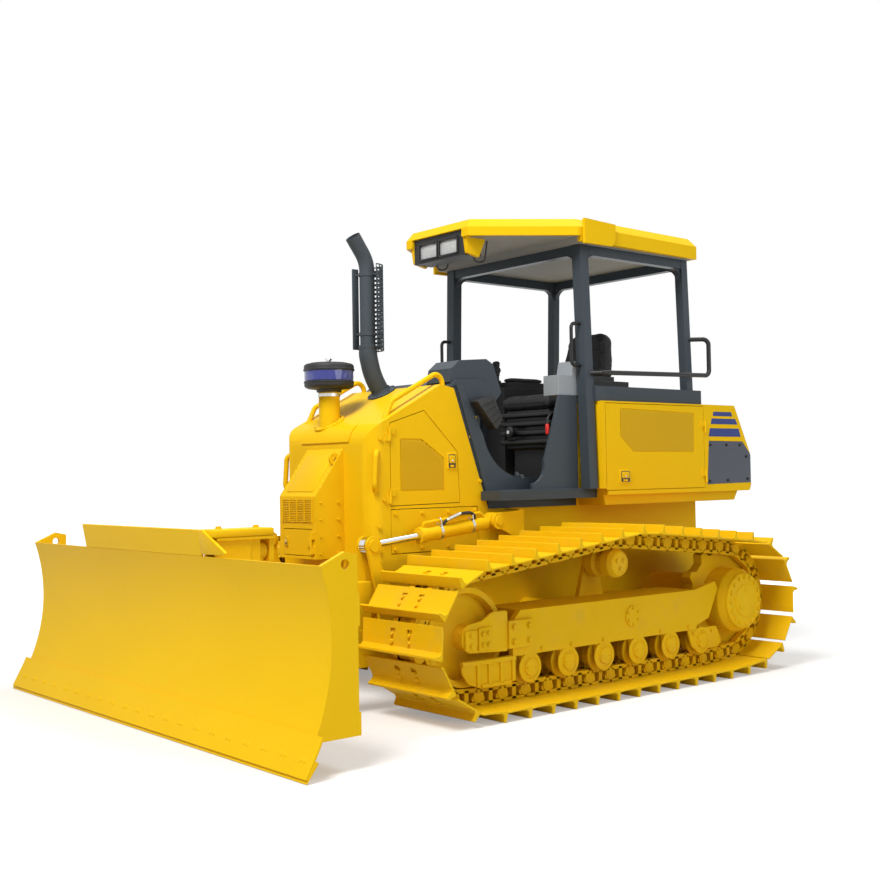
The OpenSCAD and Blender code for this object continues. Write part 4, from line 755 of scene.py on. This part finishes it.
def hood_screws():
    """Cap screws round the bolted panels, the nose and the grille box."""
    screws = Shape()
    panel = [(x, z) for x in (0.585, 0.790, 0.985, 1.180) for z in (0.852, 1.053)]
    edge = [(0.540, 1.225), (0.605, 1.490), (1.255, 1.130), (1.290, 0.980), (1.290, 0.850), (1.275, 1.470)]
    for x, z in panel + edge:
        for sign in (-1, 1):
            screws.bolt(at(x, sign * HULL_Y, z), (0, sign, 0), 0.010)
    for z in (0.835, 0.930, 1.025, 1.120):
        for sign in (-1, 1):
            screws.bolt(at(1.385, sign * 0.183, z), (0, sign, 0), 0.008)
            screws.bolt(at(1.505, sign * 0.183, z), (0, sign, 0), 0.006)
    screws.piece("hood_screws", yellow)


def grille_rivets():
    """Rivets along the grille box's slope and round its screen, and its lifting lug."""
    rivets = Shape()
    for i in range(9):
        for sign in (-1, 1):
            spot = at(GRILLE_X, sign * 0.170, GRILLE_TOP) - SLOPE * (0.020 + 0.036 * i)
            rivets.turned(spot, SLOPE_OUT, RIVET, 10)
    for y in (-0.135, -0.045, 0.045, 0.135):
        for z in (1.006, 1.146):
            rivets.turned(at(GRILLE_X, y, z), AHEAD, RIVET, 10)
    lug = at(GRILLE_X, 0.170, GRILLE_TOP) - SLOPE * 0.250 + SLOPE_OUT * 0.012
    rivets.turned(lug, ACROSS, mm(14, -6, 34, -6, 34, 6, 14, 6, 14, -6), 24)
    rivets.piece("grille_rivets", yellow)


def front_screen():
    """Fine bars and a pressed sheet over the slots of the grille box, and a plain blank on its slope."""
    bars, sheet, lid = Shape(), Shape(), Shape()
    for i in range(13):
        z = 1.014 + i * 0.0102
        bars.rod(at(GRILLE_X + 0.0025, -0.150, z), at(GRILLE_X + 0.0025, 0.150, z), 0.0028, 8)
    for y in (-0.150, -0.075, 0.0, 0.075, 0.150):
        bars.block(at(GRILLE_X, y - 0.004, 1.010), at(GRILLE_X + 0.0065, y + 0.004, 1.141), 0.001, 1)
    bars.piece("grille_bars", yellow)
    sheet.plate(box_outline(-0.152, 1.008, 0.152, 1.143), 0.0012, grille_face())
    sheet.piece("grille_sheet", pressed_yellow)
    lid.plate(box_outline(-0.140, 0.030, 0.140, 0.290), 0.004,
              face_matrix(at(GRILLE_X, 0, GRILLE_TOP), ACROSS, -SLOPE), 0.018, 0.0015)
    lid.piece("grille_lid", yellow)


def panel_latch(name, body, place, size):
    """Paddle latch: yellow bezel, dark pocket, yellow paddle and its lock."""
    pocket, paddle, lock = Shape(), Shape(), Shape()
    w, h = size[0] / 2, size[1] / 2
    pocket.plate(box_outline(-w * 0.74, -h * 0.80, w * 0.74, h * 0.80), 0.0056, place, 0.008, 0.001)
    pocket.piece(f"{name}_pocket", black_plastic, body)
    paddle.plate(box_outline(-w, -h, w, h), 0.005, place, 0.012, 0.002)
    paddle.plate(box_outline(-w * 0.62, -h * 0.25, w * 0.62, h * 0.68), 0.0085, place, 0.006, 0.003)
    paddle.plate(box_outline(-w * 0.40, -h * 0.72, w * 0.40, -h * 0.42), 0.0075, place, 0.004, 0.002)
    paddle.piece(f"{name}_paddle", yellow, body)
    lock.turned(place @ Vector((0, h * 0.05, 0.0085)), place.to_3x3() @ Vector(UP),
                mm(0, 2.5, 5, 2.5, 6, 1.5, 6, -1), 14)
    lock.piece(f"{name}_lock", zinc, body)


def run_across(outline, z):
    """First and last station of an outline at a height."""
    cuts = [ax + (bx - ax) * (z - az) / (bz - az)
            for (ax, az), (bx, bz) in zip(outline, outline[1:] + outline[:1]) if (az - z) * (bz - z) < 0]
    return min(cuts), max(cuts)


def grille_sheet(name, body, outline, y, sign):
    """Pressed yellow sheet in a panel's sunk field, with fine ribs along it."""
    sheet = Shape()
    sheet.plate(outline[::sign], 0.0020, side_matrix(y, sign))
    heights = [z for _, z in outline]
    z = min(heights) + 0.008
    while z < max(heights) - 0.006:
        first, last = run_across(outline, z)
        sheet.block(at(first + 0.006, sign * y, z - 0.0022),
                    at(last - 0.006, sign * (y + 0.0034), z + 0.0022))
        z += PRESSED_PITCH
    sheet.piece(name, pressed_yellow, body)


hood_mask()
hood_screws()
grille_rivets()
front_screen()
for side, sign in SIDES:
    panel_latch(f"door_latch_{side}", f"engine_door_{side}",
                face_matrix(at(0.757, sign * HULL_Y, 1.345), (-sign, 0, 0), UP), (0.072, 0.100))
    panel_latch(f"rear_latch_{side}", f"rear_panel_{side}",
                face_matrix(at(-0.438, sign * REAR_Y, 1.238), (-sign, 0, 0), UP), (0.110, 0.085))
    grille_sheet(f"door_mesh_{side}", f"engine_door_{side}", DOOR_FIELD, 0.4362, sign)
    grille_sheet(f"rear_mesh_{side}", f"rear_panel_{side}", REAR_FIELD, 0.7112, sign)
panel_latch("access_latch", "front_access_door", grille_face(-0.112, 0.897), (0.034, 0.060))


# Rear body

def blue_bars():
    """Three bars above the dark corner cover, each with slanted ends."""
    bars = Shape()
    for bar in (mm(-1550, 1635, -1335, 1635, -1342, 1664, -1538, 1664),
                mm(-1606, 1580, -1312, 1580, -1322, 1618, -1582, 1618),
                mm(-1640, 1496, -1287, 1496, -1302, 1552, -1618, 1552)):
        for sign in (-1, 1):
            bars.plate(bar[::sign], 0.0008, side_matrix(REAR_Y, sign))
    bars.piece("blue_bars", stripe_blue)


def fuel_cap():
    """Filler cap with grips round its rim."""
    cap = Shape()
    place = at(-1.308, 0.560, 1.710)
    cap.turned(place, UP, mm(0, 62, 30, 62, 44, 56, 46, 50, 46, 16, 40, 12, 40, -2, 0, -2), 30)
    for i in range(10):
        a = math.radians(36 * i)
        spot = place + Vector((math.cos(a) * 0.045, math.sin(a) * 0.045, 0.0))
        cap.rod(spot + Vector((0, 0, 0.020)), spot + Vector((0, 0, 0.046)), 0.0045, 6)
    cap.piece("fuel_cap", black_plastic)


def cover_screws():
    """Screws round the dark corner covers."""
    screws = Shape()
    for x, z in mm(-1292, 1195, -1302, 1440, -1480, 1440, -1630, 1440, -1700, 1360, -1712, 1205, -1490, 1198):
        for sign in (-1, 1):
            screws.bolt(at(x, sign * REAR_Y, z), (0, sign, 0), 0.008)
    screws.piece("cover_screws", black_paint)


blue_bars()
fuel_cap()
cover_screws()

# Roof

LAMP_Z = 2.685


def roof_underside():
    """Grey lining under the roof, and the lamps' wire loops."""
    lining, loops = Shape(), Shape()
    half = mm(-94, 685, 316, 392, 445, 298, 445, 246, 316, 246)
    outline = half + tuple((x, -y) for x, y in reversed(half))
    lining.plate(outline[::-1], 0.0015, Matrix.Translation(at(0, 0, 2.7203)))
    lining.plate(box_outline(-1.205, -0.672, -0.097, 0.672), 0.0015,
                 Matrix.Translation(at(0, 0, 2.6883)), 0.02)
    lining.block(at(-0.0945, -0.668, 2.6885), at(-0.0925, 0.668, 2.7210))
    lining.piece("roof_lining", roof_liner)
    for y in (-0.170, 0.190):
        loops.tube([at(0.345, y, 2.630), at(0.330, y + 0.010, 2.585), at(0.290, y + 0.050, 2.588),
                    at(0.276, y + 0.060, 2.716)], 0.005, 0.030, 8)
    loops.piece("lamp_wires", black_plastic)


def lamps():
    """Reflectors, fluted lenses and bezels of the two front lamps."""
    bowls, glass, bezels = Shape(), Shape(), Shape()
    bowl = Shape()
    bowl.turned((0, 0, 0), AHEAD, mm(0, 0.6, 16, 1, 32, 5, 46.5, 13.5), 40)
    for y in (-0.097, 0.097):
        bowls.stamp(bowl, Matrix.Translation(at(0.4386, y, LAMP_Z)) @ Matrix.Diagonal((1.0, 1.86, 1.0, 1.0)))
        bowls.turned(at(0.439, y, LAMP_Z), AHEAD, mm(10, 0, 9, 8, 0, 11), 16)
        glass.plate(box_outline(-0.0865, -0.0465, 0.0865, 0.0465), 0.004,
                    face_matrix(at(0.4535, y, LAMP_Z), ACROSS, UP), 0.018, 0.0015)
        for i in range(9):
            flute = y - 0.064 + 0.016 * i
            glass.rod(at(0.4575, flute, 2.646), at(0.4575, flute, 2.724), 0.0022, 6)
        for u0, v0, u1, v1 in ((-0.094, -0.055, 0.094, -0.044), (-0.094, 0.044, 0.094, 0.055),
                               (-0.094, -0.055, -0.083, 0.055), (0.083, -0.055, 0.094, 0.055)):
            bezels.block(at(0.4605, y + u0, LAMP_Z + v0), at(0.4720, y + u1, LAMP_Z + v1), 0.004)
    bowls.piece("lamp_bowls", reflector, sharp=60)
    glass.piece("lamp_glass", lens, instead_of="lamp_lenses")
    bezels.piece("lamp_bezels", black_plastic)


roof_underside()
lamps()

# Operator's place

SKIN_STEP = 0.006
SWELL_FRAMES = 20
CORD_R, PIPING_R = 0.0028, 0.0040


def swell(piece, reach):
    """Blows a cover up over its foam as cloth, each point by no more than the reach."""
    cloth = piece.modifiers.new("swell", "CLOTH")
    cloth.settings.use_pressure = True
    cloth.settings.uniform_pressure_force = 4.0
    cloth.settings.effector_weights.gravity = 0.0
    cloth.point_cache.frame_start, cloth.point_cache.frame_end = 1, SWELL_FRAMES
    for step in range(1, SWELL_FRAMES + 1):
        scene.frame_set(step)
    for v, target in zip(piece.data.vertices, evaluated(piece).to_mesh().vertices):
        move = target.co - v.co
        v.co += move * min(1.0, reach / max(move.length, 1e-9))
    piece.modifiers.remove(cloth)
    scene.frame_set(1)


def soft_pad(name, form, reach, floor, instead_of=None):
    """A pad: an even skin over a smaller form, swollen as cloth, flat where it rests."""
    bmesh.ops.recalc_face_normals(form.bm, faces=form.bm.faces)
    piece = add_object(name, form.mesh("form"))
    even = piece.modifiers.new("even", "REMESH")
    even.mode = "VOXEL"
    even.voxel_size = SKIN_STEP
    skin = bpy.data.meshes.new_from_object(evaluated(piece))
    piece.modifiers.clear()
    piece.data = skin
    skin.name = name
    swell(piece, reach)
    for v in skin.vertices:
        v.co.z = max(v.co.z, floor)
    skin.polygons.foreach_set("use_smooth", [True] * len(skin.polygons))
    skin.materials.clear()
    skin.materials.append(seat_cover)
    smooth = piece.modifiers.new("smooth", "SUBSURF")
    smooth.levels = smooth.render_levels = 1
    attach(piece, "chassis")
    if instead_of:
        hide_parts(instead_of)
    return piece


def seam(shape, piece, starts, aim, r=CORD_R):
    """A sewn cord laid on a pad's skin, found along an aim from each start."""
    tree = BVHTree.FromObject(piece, bpy.context.evaluated_depsgraph_get())
    hits = [tree.ray_cast(start, aim(start))[0] for start in starts]
    shape.tube([h for h in hits if h is not None], r, 0.0, 8)


def seat():
    """Cushion and back of the seat, with their seams and piping."""
    form = Shape()
    form.block(at(-0.738, -0.233, 1.694), at(-0.252, 0.233, 1.772), 0.030, 4)
    cushion = soft_pad("seat_cushion_pad", form, 0.014, 1.691, "seat_cushion")
    form = Shape()
    place = face_matrix(at(-0.872, 0, 1.690), ACROSS, (-0.165, 0.0, 0.986))
    form.plate(mm(-200, 0, 200, 0, 222, 300, 175, 545, -175, 545, -222, 300),
               0.088, place, 0.070)
    form.bevel([e for e in form.bm.edges if e.is_manifold and e.calc_face_angle(0.0) > 1.2], 0.026, 3)
    back = soft_pad("seat_back_pad", form, 0.014, 1.662, "seat_back")
    sewn = Shape()
    centre = at(-0.495, 0, 1.733)

    def down(_):
        return Vector((0, 0, -1))

    def rearward(_):
        return Vector((-1, 0, 0))

    for x in (-0.345, -0.600):
        seam(sewn, cushion, [at(x, -0.200 + 0.02 * i, 1.90) for i in range(21)], down)
    for y in (-0.150, 0.150):
        seam(sewn, cushion, [at(-0.720 + 0.02 * i, y, 1.90) for i in range(23)], down)
    turns = [math.tau * i / 72 for i in range(73)]
    seam(sewn, cushion, [centre + Vector((math.cos(a), math.sin(a), 0)) * 0.6 for a in turns],
         lambda start: centre - start, PIPING_R)
    for z in (1.860, 1.985, 2.110):
        seam(sewn, back, [at(-0.60, -0.150 + 0.02 * i, z) for i in range(16)], rearward)
    for y in (-0.155, 0.155):
        seam(sewn, back, [at(-0.60, y, 1.760 + 0.02 * i) for i in range(22)], rearward)
    sewn.piece("seat_piping", seat_cover, sharp=60)


def arm_pads():
    for side, sign in SIDES:
        form = Shape()
        y = sign * 0.330
        form.block(at(-0.730, y - 0.034, 1.9025), at(-0.412, y + 0.034, 1.924), 0.009, 3)
        soft_pad(f"arm_pad_{side}", form, 0.006, 1.9006)


def controls():
    """Boots and grips of the levers, the seat's knob, the lock lever and the tray by the dash."""
    black, steel, red = Shape(), Shape(), Shape()
    for sign in (-1, 1):
        black.turned(at(-0.400, sign * 0.410, 1.861), UP, mm(
            52, 0, 52, 6, 44, 12, 46, 20, 34, 28, 37, 36, 26, 44, 27, 50, 16, 58), 24)
        black.turned(at(-0.400, sign * 0.410, 1.945), (0.10, 0, 1), mm(
            0, 0, 17, 4, 22, 30, 19, 52, 24, 74, 27, 92, 20, 104, 0, 108), 20)
    black.turned(at(-0.246, -0.105, 1.543), AHEAD, mm(
        0, -30, 14, -30, 14, 6, 38, 8, 40, 14, 38, 30, 30, 36, 0, 38), 24)
    steel.turned(at(-0.2085, -0.105, 1.543), AHEAD, mm(13, 0, 12, 3, 0, 4), 20)
    black.block(at(-0.105, 0.532, 1.600), at(-0.030, 0.548, 1.746), 0.004)
    black.block(at(-0.030, 0.536, 1.625), at(0.006, 0.546, 1.665), 0.004)
    black.tube([at(-0.060, 0.542, 1.646), at(0.040, 0.550, 1.640), at(0.079, 0.552, 1.600),
                at(0.080, 0.552, 1.560)], 0.0055, 0.025, 8)
    red.turned(at(0.080, 0.552, 1.502), UP, mm(0, 0, 9, 2, 12.5, 12, 12.5, 58, 8, 66, 0, 67), 16)
    tray = mm(474, 1525, 629, 1697, 492, 1734, 421, 1590)
    black.plate(tray, 0.070, side_matrix(0.4565), 0.014, 0.006)
    low, front, top, rear = (Vector(corner) for corner in tray)
    for a in (0.20 + 0.20 * u for u in range(4)):
        for b in (0.18 + 0.21 * v for v in range(4)):
            spot = low.lerp(front, a).lerp(rear.lerp(top, a), b)
            black.turned(at(spot.x, 0.5265, spot.y), ACROSS, mm(
                12.5, -1, 11.5, 3, 8.5, 3, 7.5, -1, 0, -1), 12)
    black.piece("control_grips", black_plastic)
    steel.piece("control_rods", zinc)
    red.piece("lock_grip", red_plastic)


def step_tread():
    """Raised studs along the steps, and the dark linings and bolts inside the doorways."""
    tread = Shape()
    for sign in (-1, 1):
        for i in range(31):
            tread.turned(at(0.545 - 0.026 * i, sign * 0.632, 1.1685), UP, mm(
                9, 0, 8.5, 3, 5, 4, 4, 1, 0, 1), 8)
        # Linings of the wall behind the doorway, of the rear body's inner wall and beside the rear post
        tread.block(at(-0.2685, sign * 0.448, 1.170), at(-0.2650, sign * 0.592, 1.690))
        tread.block(at(-0.760, sign * 0.4765, 1.170), at(-0.270, sign * 0.4797, 1.690))
        tread.block(at(-0.2695, sign * 0.600, 1.168), at(-0.190, sign * 0.604, 1.690))
        for x, z in ((0.380, 1.262), (0.340, 1.247)):
            tread.bolt(at(x, sign * 0.590, z), (0, sign, 0), 0.012)
    tread.piece("step_tread", dark_grey)


seat()
arm_pads()
controls()
step_tread()

# Undercarriage

IDLER = (1.185, 0.4181)
SPROCKET = (-1.038, 0.445)
HUB_Y, YOKE_Y, GUARD_Y = 1.160, 1.0855, 1.072


def running_gear_bolts():
    """Rings of bolts on the final drives, the track frames' covers and the idlers' guides."""
    bolts = Shape()
    for sign in (-1, 1):
        out = (0, sign, 0)
        # Each ring's station, side, height, radius and count, its bolts' size and the first one's angle
        for x, y, z, radius, count, r, start in (
            (SPROCKET[0], HUB_Y, SPROCKET[1], 0.146, 16, 0.011, 0),
            (SPROCKET[0], HUB_Y, SPROCKET[1], 0.068, 3, 0.013, 90),
            (-0.052, 1.098, 0.427, 0.047, 6, 0.008, 30), (0.010, 1.058, 0.735, 0.032, 3, 0.010, 30),
            (0.500, 0.572, 0.400, 0.060, 4, 0.012, 45),
        ):
            for i in range(count):
                a = math.radians(start + 360 * i / count)
                bolts.bolt(at(x + radius * math.cos(a), sign * y, z + radius * math.sin(a)), out, r)
        for x in (0.805, 0.915):
            for z in (0.378, 0.455):
                bolts.bolt(at(x, sign * 1.112, z), out, 0.014)
        for x in (-0.560, -0.300, 0.200, 0.460, 0.690):
            bolts.bolt(at(x, sign * 1.090, 0.318), out, 0.010)
        bolts.turned(at(SPROCKET[0], sign * HUB_Y, SPROCKET[1]), out, mm(100, -1, 98, 6, 50, 9, 0, 10), 40)
        bolts.turned(at(IDLER[0], sign * 1.085, IDLER[1]), out, mm(52, -1, 52, 12, 46, 18, 0, 20), 28)
    bolts.piece("running_gear_bolts", track_yellow)


def guide_guards():
    """Idler yokes with bolted pads, guards under both ends of the track frames, and rollers' end caps."""
    yoke = mm(948, 330, 1225, 345, 1270, 385, 1268, 455, 1230, 492, 1120, 505, 1055, 545, 948, 545)
    front = mm(1262, 302, 1258, 240, 1215, 182, 1130, 152, 930, 152, 880, 170, 880, 302)
    rear = mm(-560, 300, -600, 190, -640, 168, -845, 168, -890, 200, -840, 300)
    pads = (box_outline(1.070, 0.352, 1.165, 0.470), box_outline(1.180, 0.360, 1.258, 0.462))
    ribs = [box_outline(0.882, 0.276, 1.260, 0.300), box_outline(0.920, 0.154, 1.128, 0.174)]
    ribs += [box_outline(x - 0.012, 0.166, x + 0.012, 0.280) for x in (0.900, 0.985, 1.070, 1.150)]
    # Outline, its side, its thickness and its corners' radius
    plates = [(yoke, YOKE_Y, 0.013, 0.014)] + [(pad, 1.0985, 0.016, 0.008) for pad in pads]
    plates += [(front, GUARD_Y, 0.010, 0.014)] + [(rib, 1.082, 0.010, 0.004) for rib in ribs]
    plates += [(rear, GUARD_Y, 0.014, 0.014)]
    guards = Shape()
    for sign in (-1, 1):
        out = (0, sign, 0)
        for outline, y, thick, corner in plates:
            guards.plate(outline[::-sign], thick, side_matrix(y, sign), corner, 0.003)
        for x in (1.100, 1.138, 1.219):
            for z in (0.382, 0.440):
                guards.bolt(at(x, sign * 1.1145, z), out, 0.011)
        for x in (-0.610, -0.700, -0.790):
            guards.bolt(at(x, sign * 1.086, 0.276), out, 0.010)
        for i in range(6):
            spot = at(-0.690 + 0.293 * i, sign * 1.0805, 0.2243)
            guards.turned(spot, out, mm(80, 0, 82, 3, 80, 8, 62, 10, 58, 6, 46, 6, 43, 16, 24, 18, 0, 18), 28)
            for shift in (-0.030, 0.030):
                guards.bolt(spot + Vector((shift, sign * 0.016, 0)), out, 0.006)
    guards.piece("guide_guards", track_yellow)


running_gear_bolts()
guide_guards()

# Blade gear

BOARD_C, BOARD_R = Vector((3.3835, 0.5729)), 0.9893
EDGE_TIP = Vector((2.5600, 0.0160))
EDGE_OUT = Vector((0.873, 0.487))
STRIP_T = 0.011


def wear_strip():
    """Strip down the foot of the board to the edge's tip, and the flat heads of its bolts."""
    strip, heads = Shape(), Shape()
    line = [Vector((BOARD_C.x - math.sqrt(BOARD_R ** 2 - (BOARD_C.y - z) ** 2), z))
            for z in (0.180, 0.150, 0.120, 0.090)] + [EDGE_TIP]
    strip.plate(line + [p + EDGE_OUT * STRIP_T for p in reversed(line)], 3.216, side_matrix(-1.608))
    strip.piece("wear_strip", yellow, "blade", 20, 0.0012)
    spot = line[3] + (line[4] - line[3]) * 0.12 + EDGE_OUT * STRIP_T
    for i in range(42):
        y = -1.52 + 0.152 * (i // 2) + 0.030 * (i % 2)
        heads.turned(at(spot.x, y, spot.y), (EDGE_OUT.x, 0, EDGE_OUT.y),
                     mm(0, 3, 9, 3, 12.5, 0, 12.5, -2), 12)
    heads.piece("edge_bolts", yellow, "blade")


def guard_end():
    """Slanted end of the spill guard, and the cap that carries it back over the tilt cylinder's bracket."""
    end = Shape()
    lean = Vector((24.0, 0.0, 132.0))
    end.plate(mm(0, 12, 230, 16, 235, 26, 45, 134, 0, 134), 0.014,
              face_matrix(at(2.432, 0.530, 0.889), ACROSS, lean.normalized()), 0.004, 0.002)
    end.block(at(2.118, 0.528, 0.9815), at(2.450, 0.674, 1.0205), 0.008)
    for x in (2.180, 2.390):
        end.bolt(at(x, 0.600, 1.0205), UP, 0.014)
    end.piece("guard_end", yellow, "blade")


def lift_place(sign):
    """Frame of a lift cylinder: X runs from its rear eye to its front one."""
    run = Vector((0.921, 0, -0.100)).normalized()
    up = Vector((0.100, 0, 0.921)).normalized()
    turn = Matrix((run, up.cross(run), up)).transposed().to_4x4()
    return Matrix.Translation(at(0.499, sign * 0.515, 0.990)) @ turn


def lift_pipes():
    """Oil pipes along the lift barrels, their clamps, and the hoses that feed them."""
    for side, sign in SIDES:
        place = lift_place(sign)
        body = f"lift_barrel_{side}"
        pipe, clamps, feed = Shape(), Shape(), Shape()

        def local(*points):
            return [place @ Vector(p) for p in points]

        pipe.tube(local((0.548, 0.010, 0.040), (0.548, 0.018, 0.066), (0.120, 0.018, 0.066),
                        (0.100, 0.018, 0.044)), 0.0095, 0.022, 12)
        pipe.block(*local((0.535, 0.000, 0.036), (0.562, 0.022, 0.050)))
        pipe.piece(f"lift_pipe_{side}", yellow, body)
        for u in (0.190, 0.430):
            clamps.turned(place @ Vector((u, 0, 0)), place.to_3x3() @ Vector(AHEAD),
                          mm(41.2, -9, 44, -9, 44, 9, 41.2, 9))
            clamps.tube(local((u, -0.004, 0.043), (u, 0.006, 0.078), (u, 0.032, 0.078), (u, 0.034, 0.036)),
                        0.004, 0.012, 8)
        clamps.rod(*local((0.372, 0.034, 0.066), (0.300, 0.036, 0.082)), 0.0125, 6)
        clamps.rod(*local((0.392, 0.033, 0.061), (0.285, 0.036, 0.085)), 0.0095, 12)
        clamps.piece(f"lift_clamps_{side}", zinc, body)
        feed.tube(local((0.412, 0.022, 0.040), (0.392, 0.033, 0.061), (0.285, 0.036, 0.085),
                        (0.205, 0.034, 0.080), (0.168, 0.022, 0.056), (0.162, 0.012, 0.036)), 0.0090, 0.040, 12)
        feed.piece(f"lift_feed_{side}", black_plastic, body)


wear_strip()
guard_end()
lift_pipes()

# Studio

SKY_LIGHT = 0.22
scene.view_settings.view_transform = "Standard"


def seen_directly(f):
    """1 for rays that see the backdrop, straight, in a reflection or through glass, and 0 for its light."""
    camera, glossy, through = (f.node("ShaderNodeLightPath", {}, {}, f"Is {kind} Ray")
                               for kind in ("Camera", "Glossy", "Transmission"))
    return (camera + glossy + through).at_most(1.0)


def studio_floor():
    """Pale floor that keeps the shadow under the machine and fades to the white backdrop round it."""
    f = Finish("studio_floor")
    x, y, _ = f.split(f.place)
    reach = (x * x + y * y) ** 0.5
    glow = seen_directly(f) * (0.30 + reach.above(4.3, 2.2) * 0.70)
    floor = Shape()
    bmesh.ops.create_grid(floor.bm, x_segments=2, y_segments=2, size=60.0)
    mesh = floor.mesh("floor")
    mesh.materials.append(f.surface({
        "Base Color": f.mix(f.noise(f.place, 0.4, 2.0), (0.62, 0.62, 0.62), (0.65, 0.65, 0.65)),
        "Roughness": 0.9, "Specular IOR Level": 0.1, "Emission Strength": 1.0,
        "Emission Color": f.mix(glow, (0.0, 0.0, 0.0), (1.0, 1.0, 1.0)),
    }))
    add_object("floor", mesh)


def studio_world():
    """White behind the machine, and a soft sky for its light."""
    f = Finish("studio", "worlds")
    scene.world = f.owner
    sky = f.node("ShaderNodeBackground", {}, {"Color": (0.93, 0.96, 1.0, 1.0), "Strength": SKY_LIGHT})
    white = f.node("ShaderNodeBackground", {}, {"Color": (1.0, 1.0, 1.0, 1.0), "Strength": 1.0})
    f.node("ShaderNodeOutputWorld", {}, [f.node("ShaderNodeMixShader", {}, [seen_directly(f), sky, white])])


def studio_lamp(name, place, target, size, power, colour=(1, 1, 1)):
    lamp = bpy.data.lights.new(name, "AREA")
    lamp.shape = "DISK"
    lamp.size = size
    lamp.energy = power
    lamp.color = colour
    holder = add_object(name, lamp)
    holder.location = place
    holder.rotation_mode = "QUATERNION"
    holder.rotation_quaternion = (target - place).to_track_quat("-Z", "Y")


def photo_camera():
    """The viewpoint, turn and focal length worked out from the photograph's own perspective."""
    yaw, pitch, roll = math.radians(-130.109), math.radians(1.64), math.radians(-0.905)
    forward = Vector((math.cos(pitch) * math.cos(yaw), math.cos(pitch) * math.sin(yaw), math.sin(pitch)))
    level = forward.cross(Vector(UP)).normalized()
    upright = level.cross(forward)
    right = math.cos(roll) * level + math.sin(roll) * upright
    up = -math.sin(roll) * level + math.cos(roll) * upright
    data = bpy.data.cameras.new("camera")
    data.sensor_width = 36.0
    data.lens = 49.97
    data.shift_x, data.shift_y = -0.0032, -0.0009
    data.clip_end = 300.0
    camera = add_object("camera", data)
    turn = Matrix((right, up, -forward)).transposed().to_4x4()
    camera.matrix_world = Matrix.Translation(at(5.378, 5.849, 1.270)) @ turn
    scene.camera = camera


studio_floor()
studio_world()
studio_lamp("key", at(6.4, 2.8, 9.0), at(0.9, 0, 0.8), 4.0, 980, (1.0, 0.985, 0.96))
studio_lamp("fill", at(-0.5, 9.0, 4.0), at(0, 0, 1.0), 6.0, 190)
studio_lamp("top", at(-3.0, 1.0, 11.0), at(-0.6, 0, 0), 6.0, 470)
photo_camera()
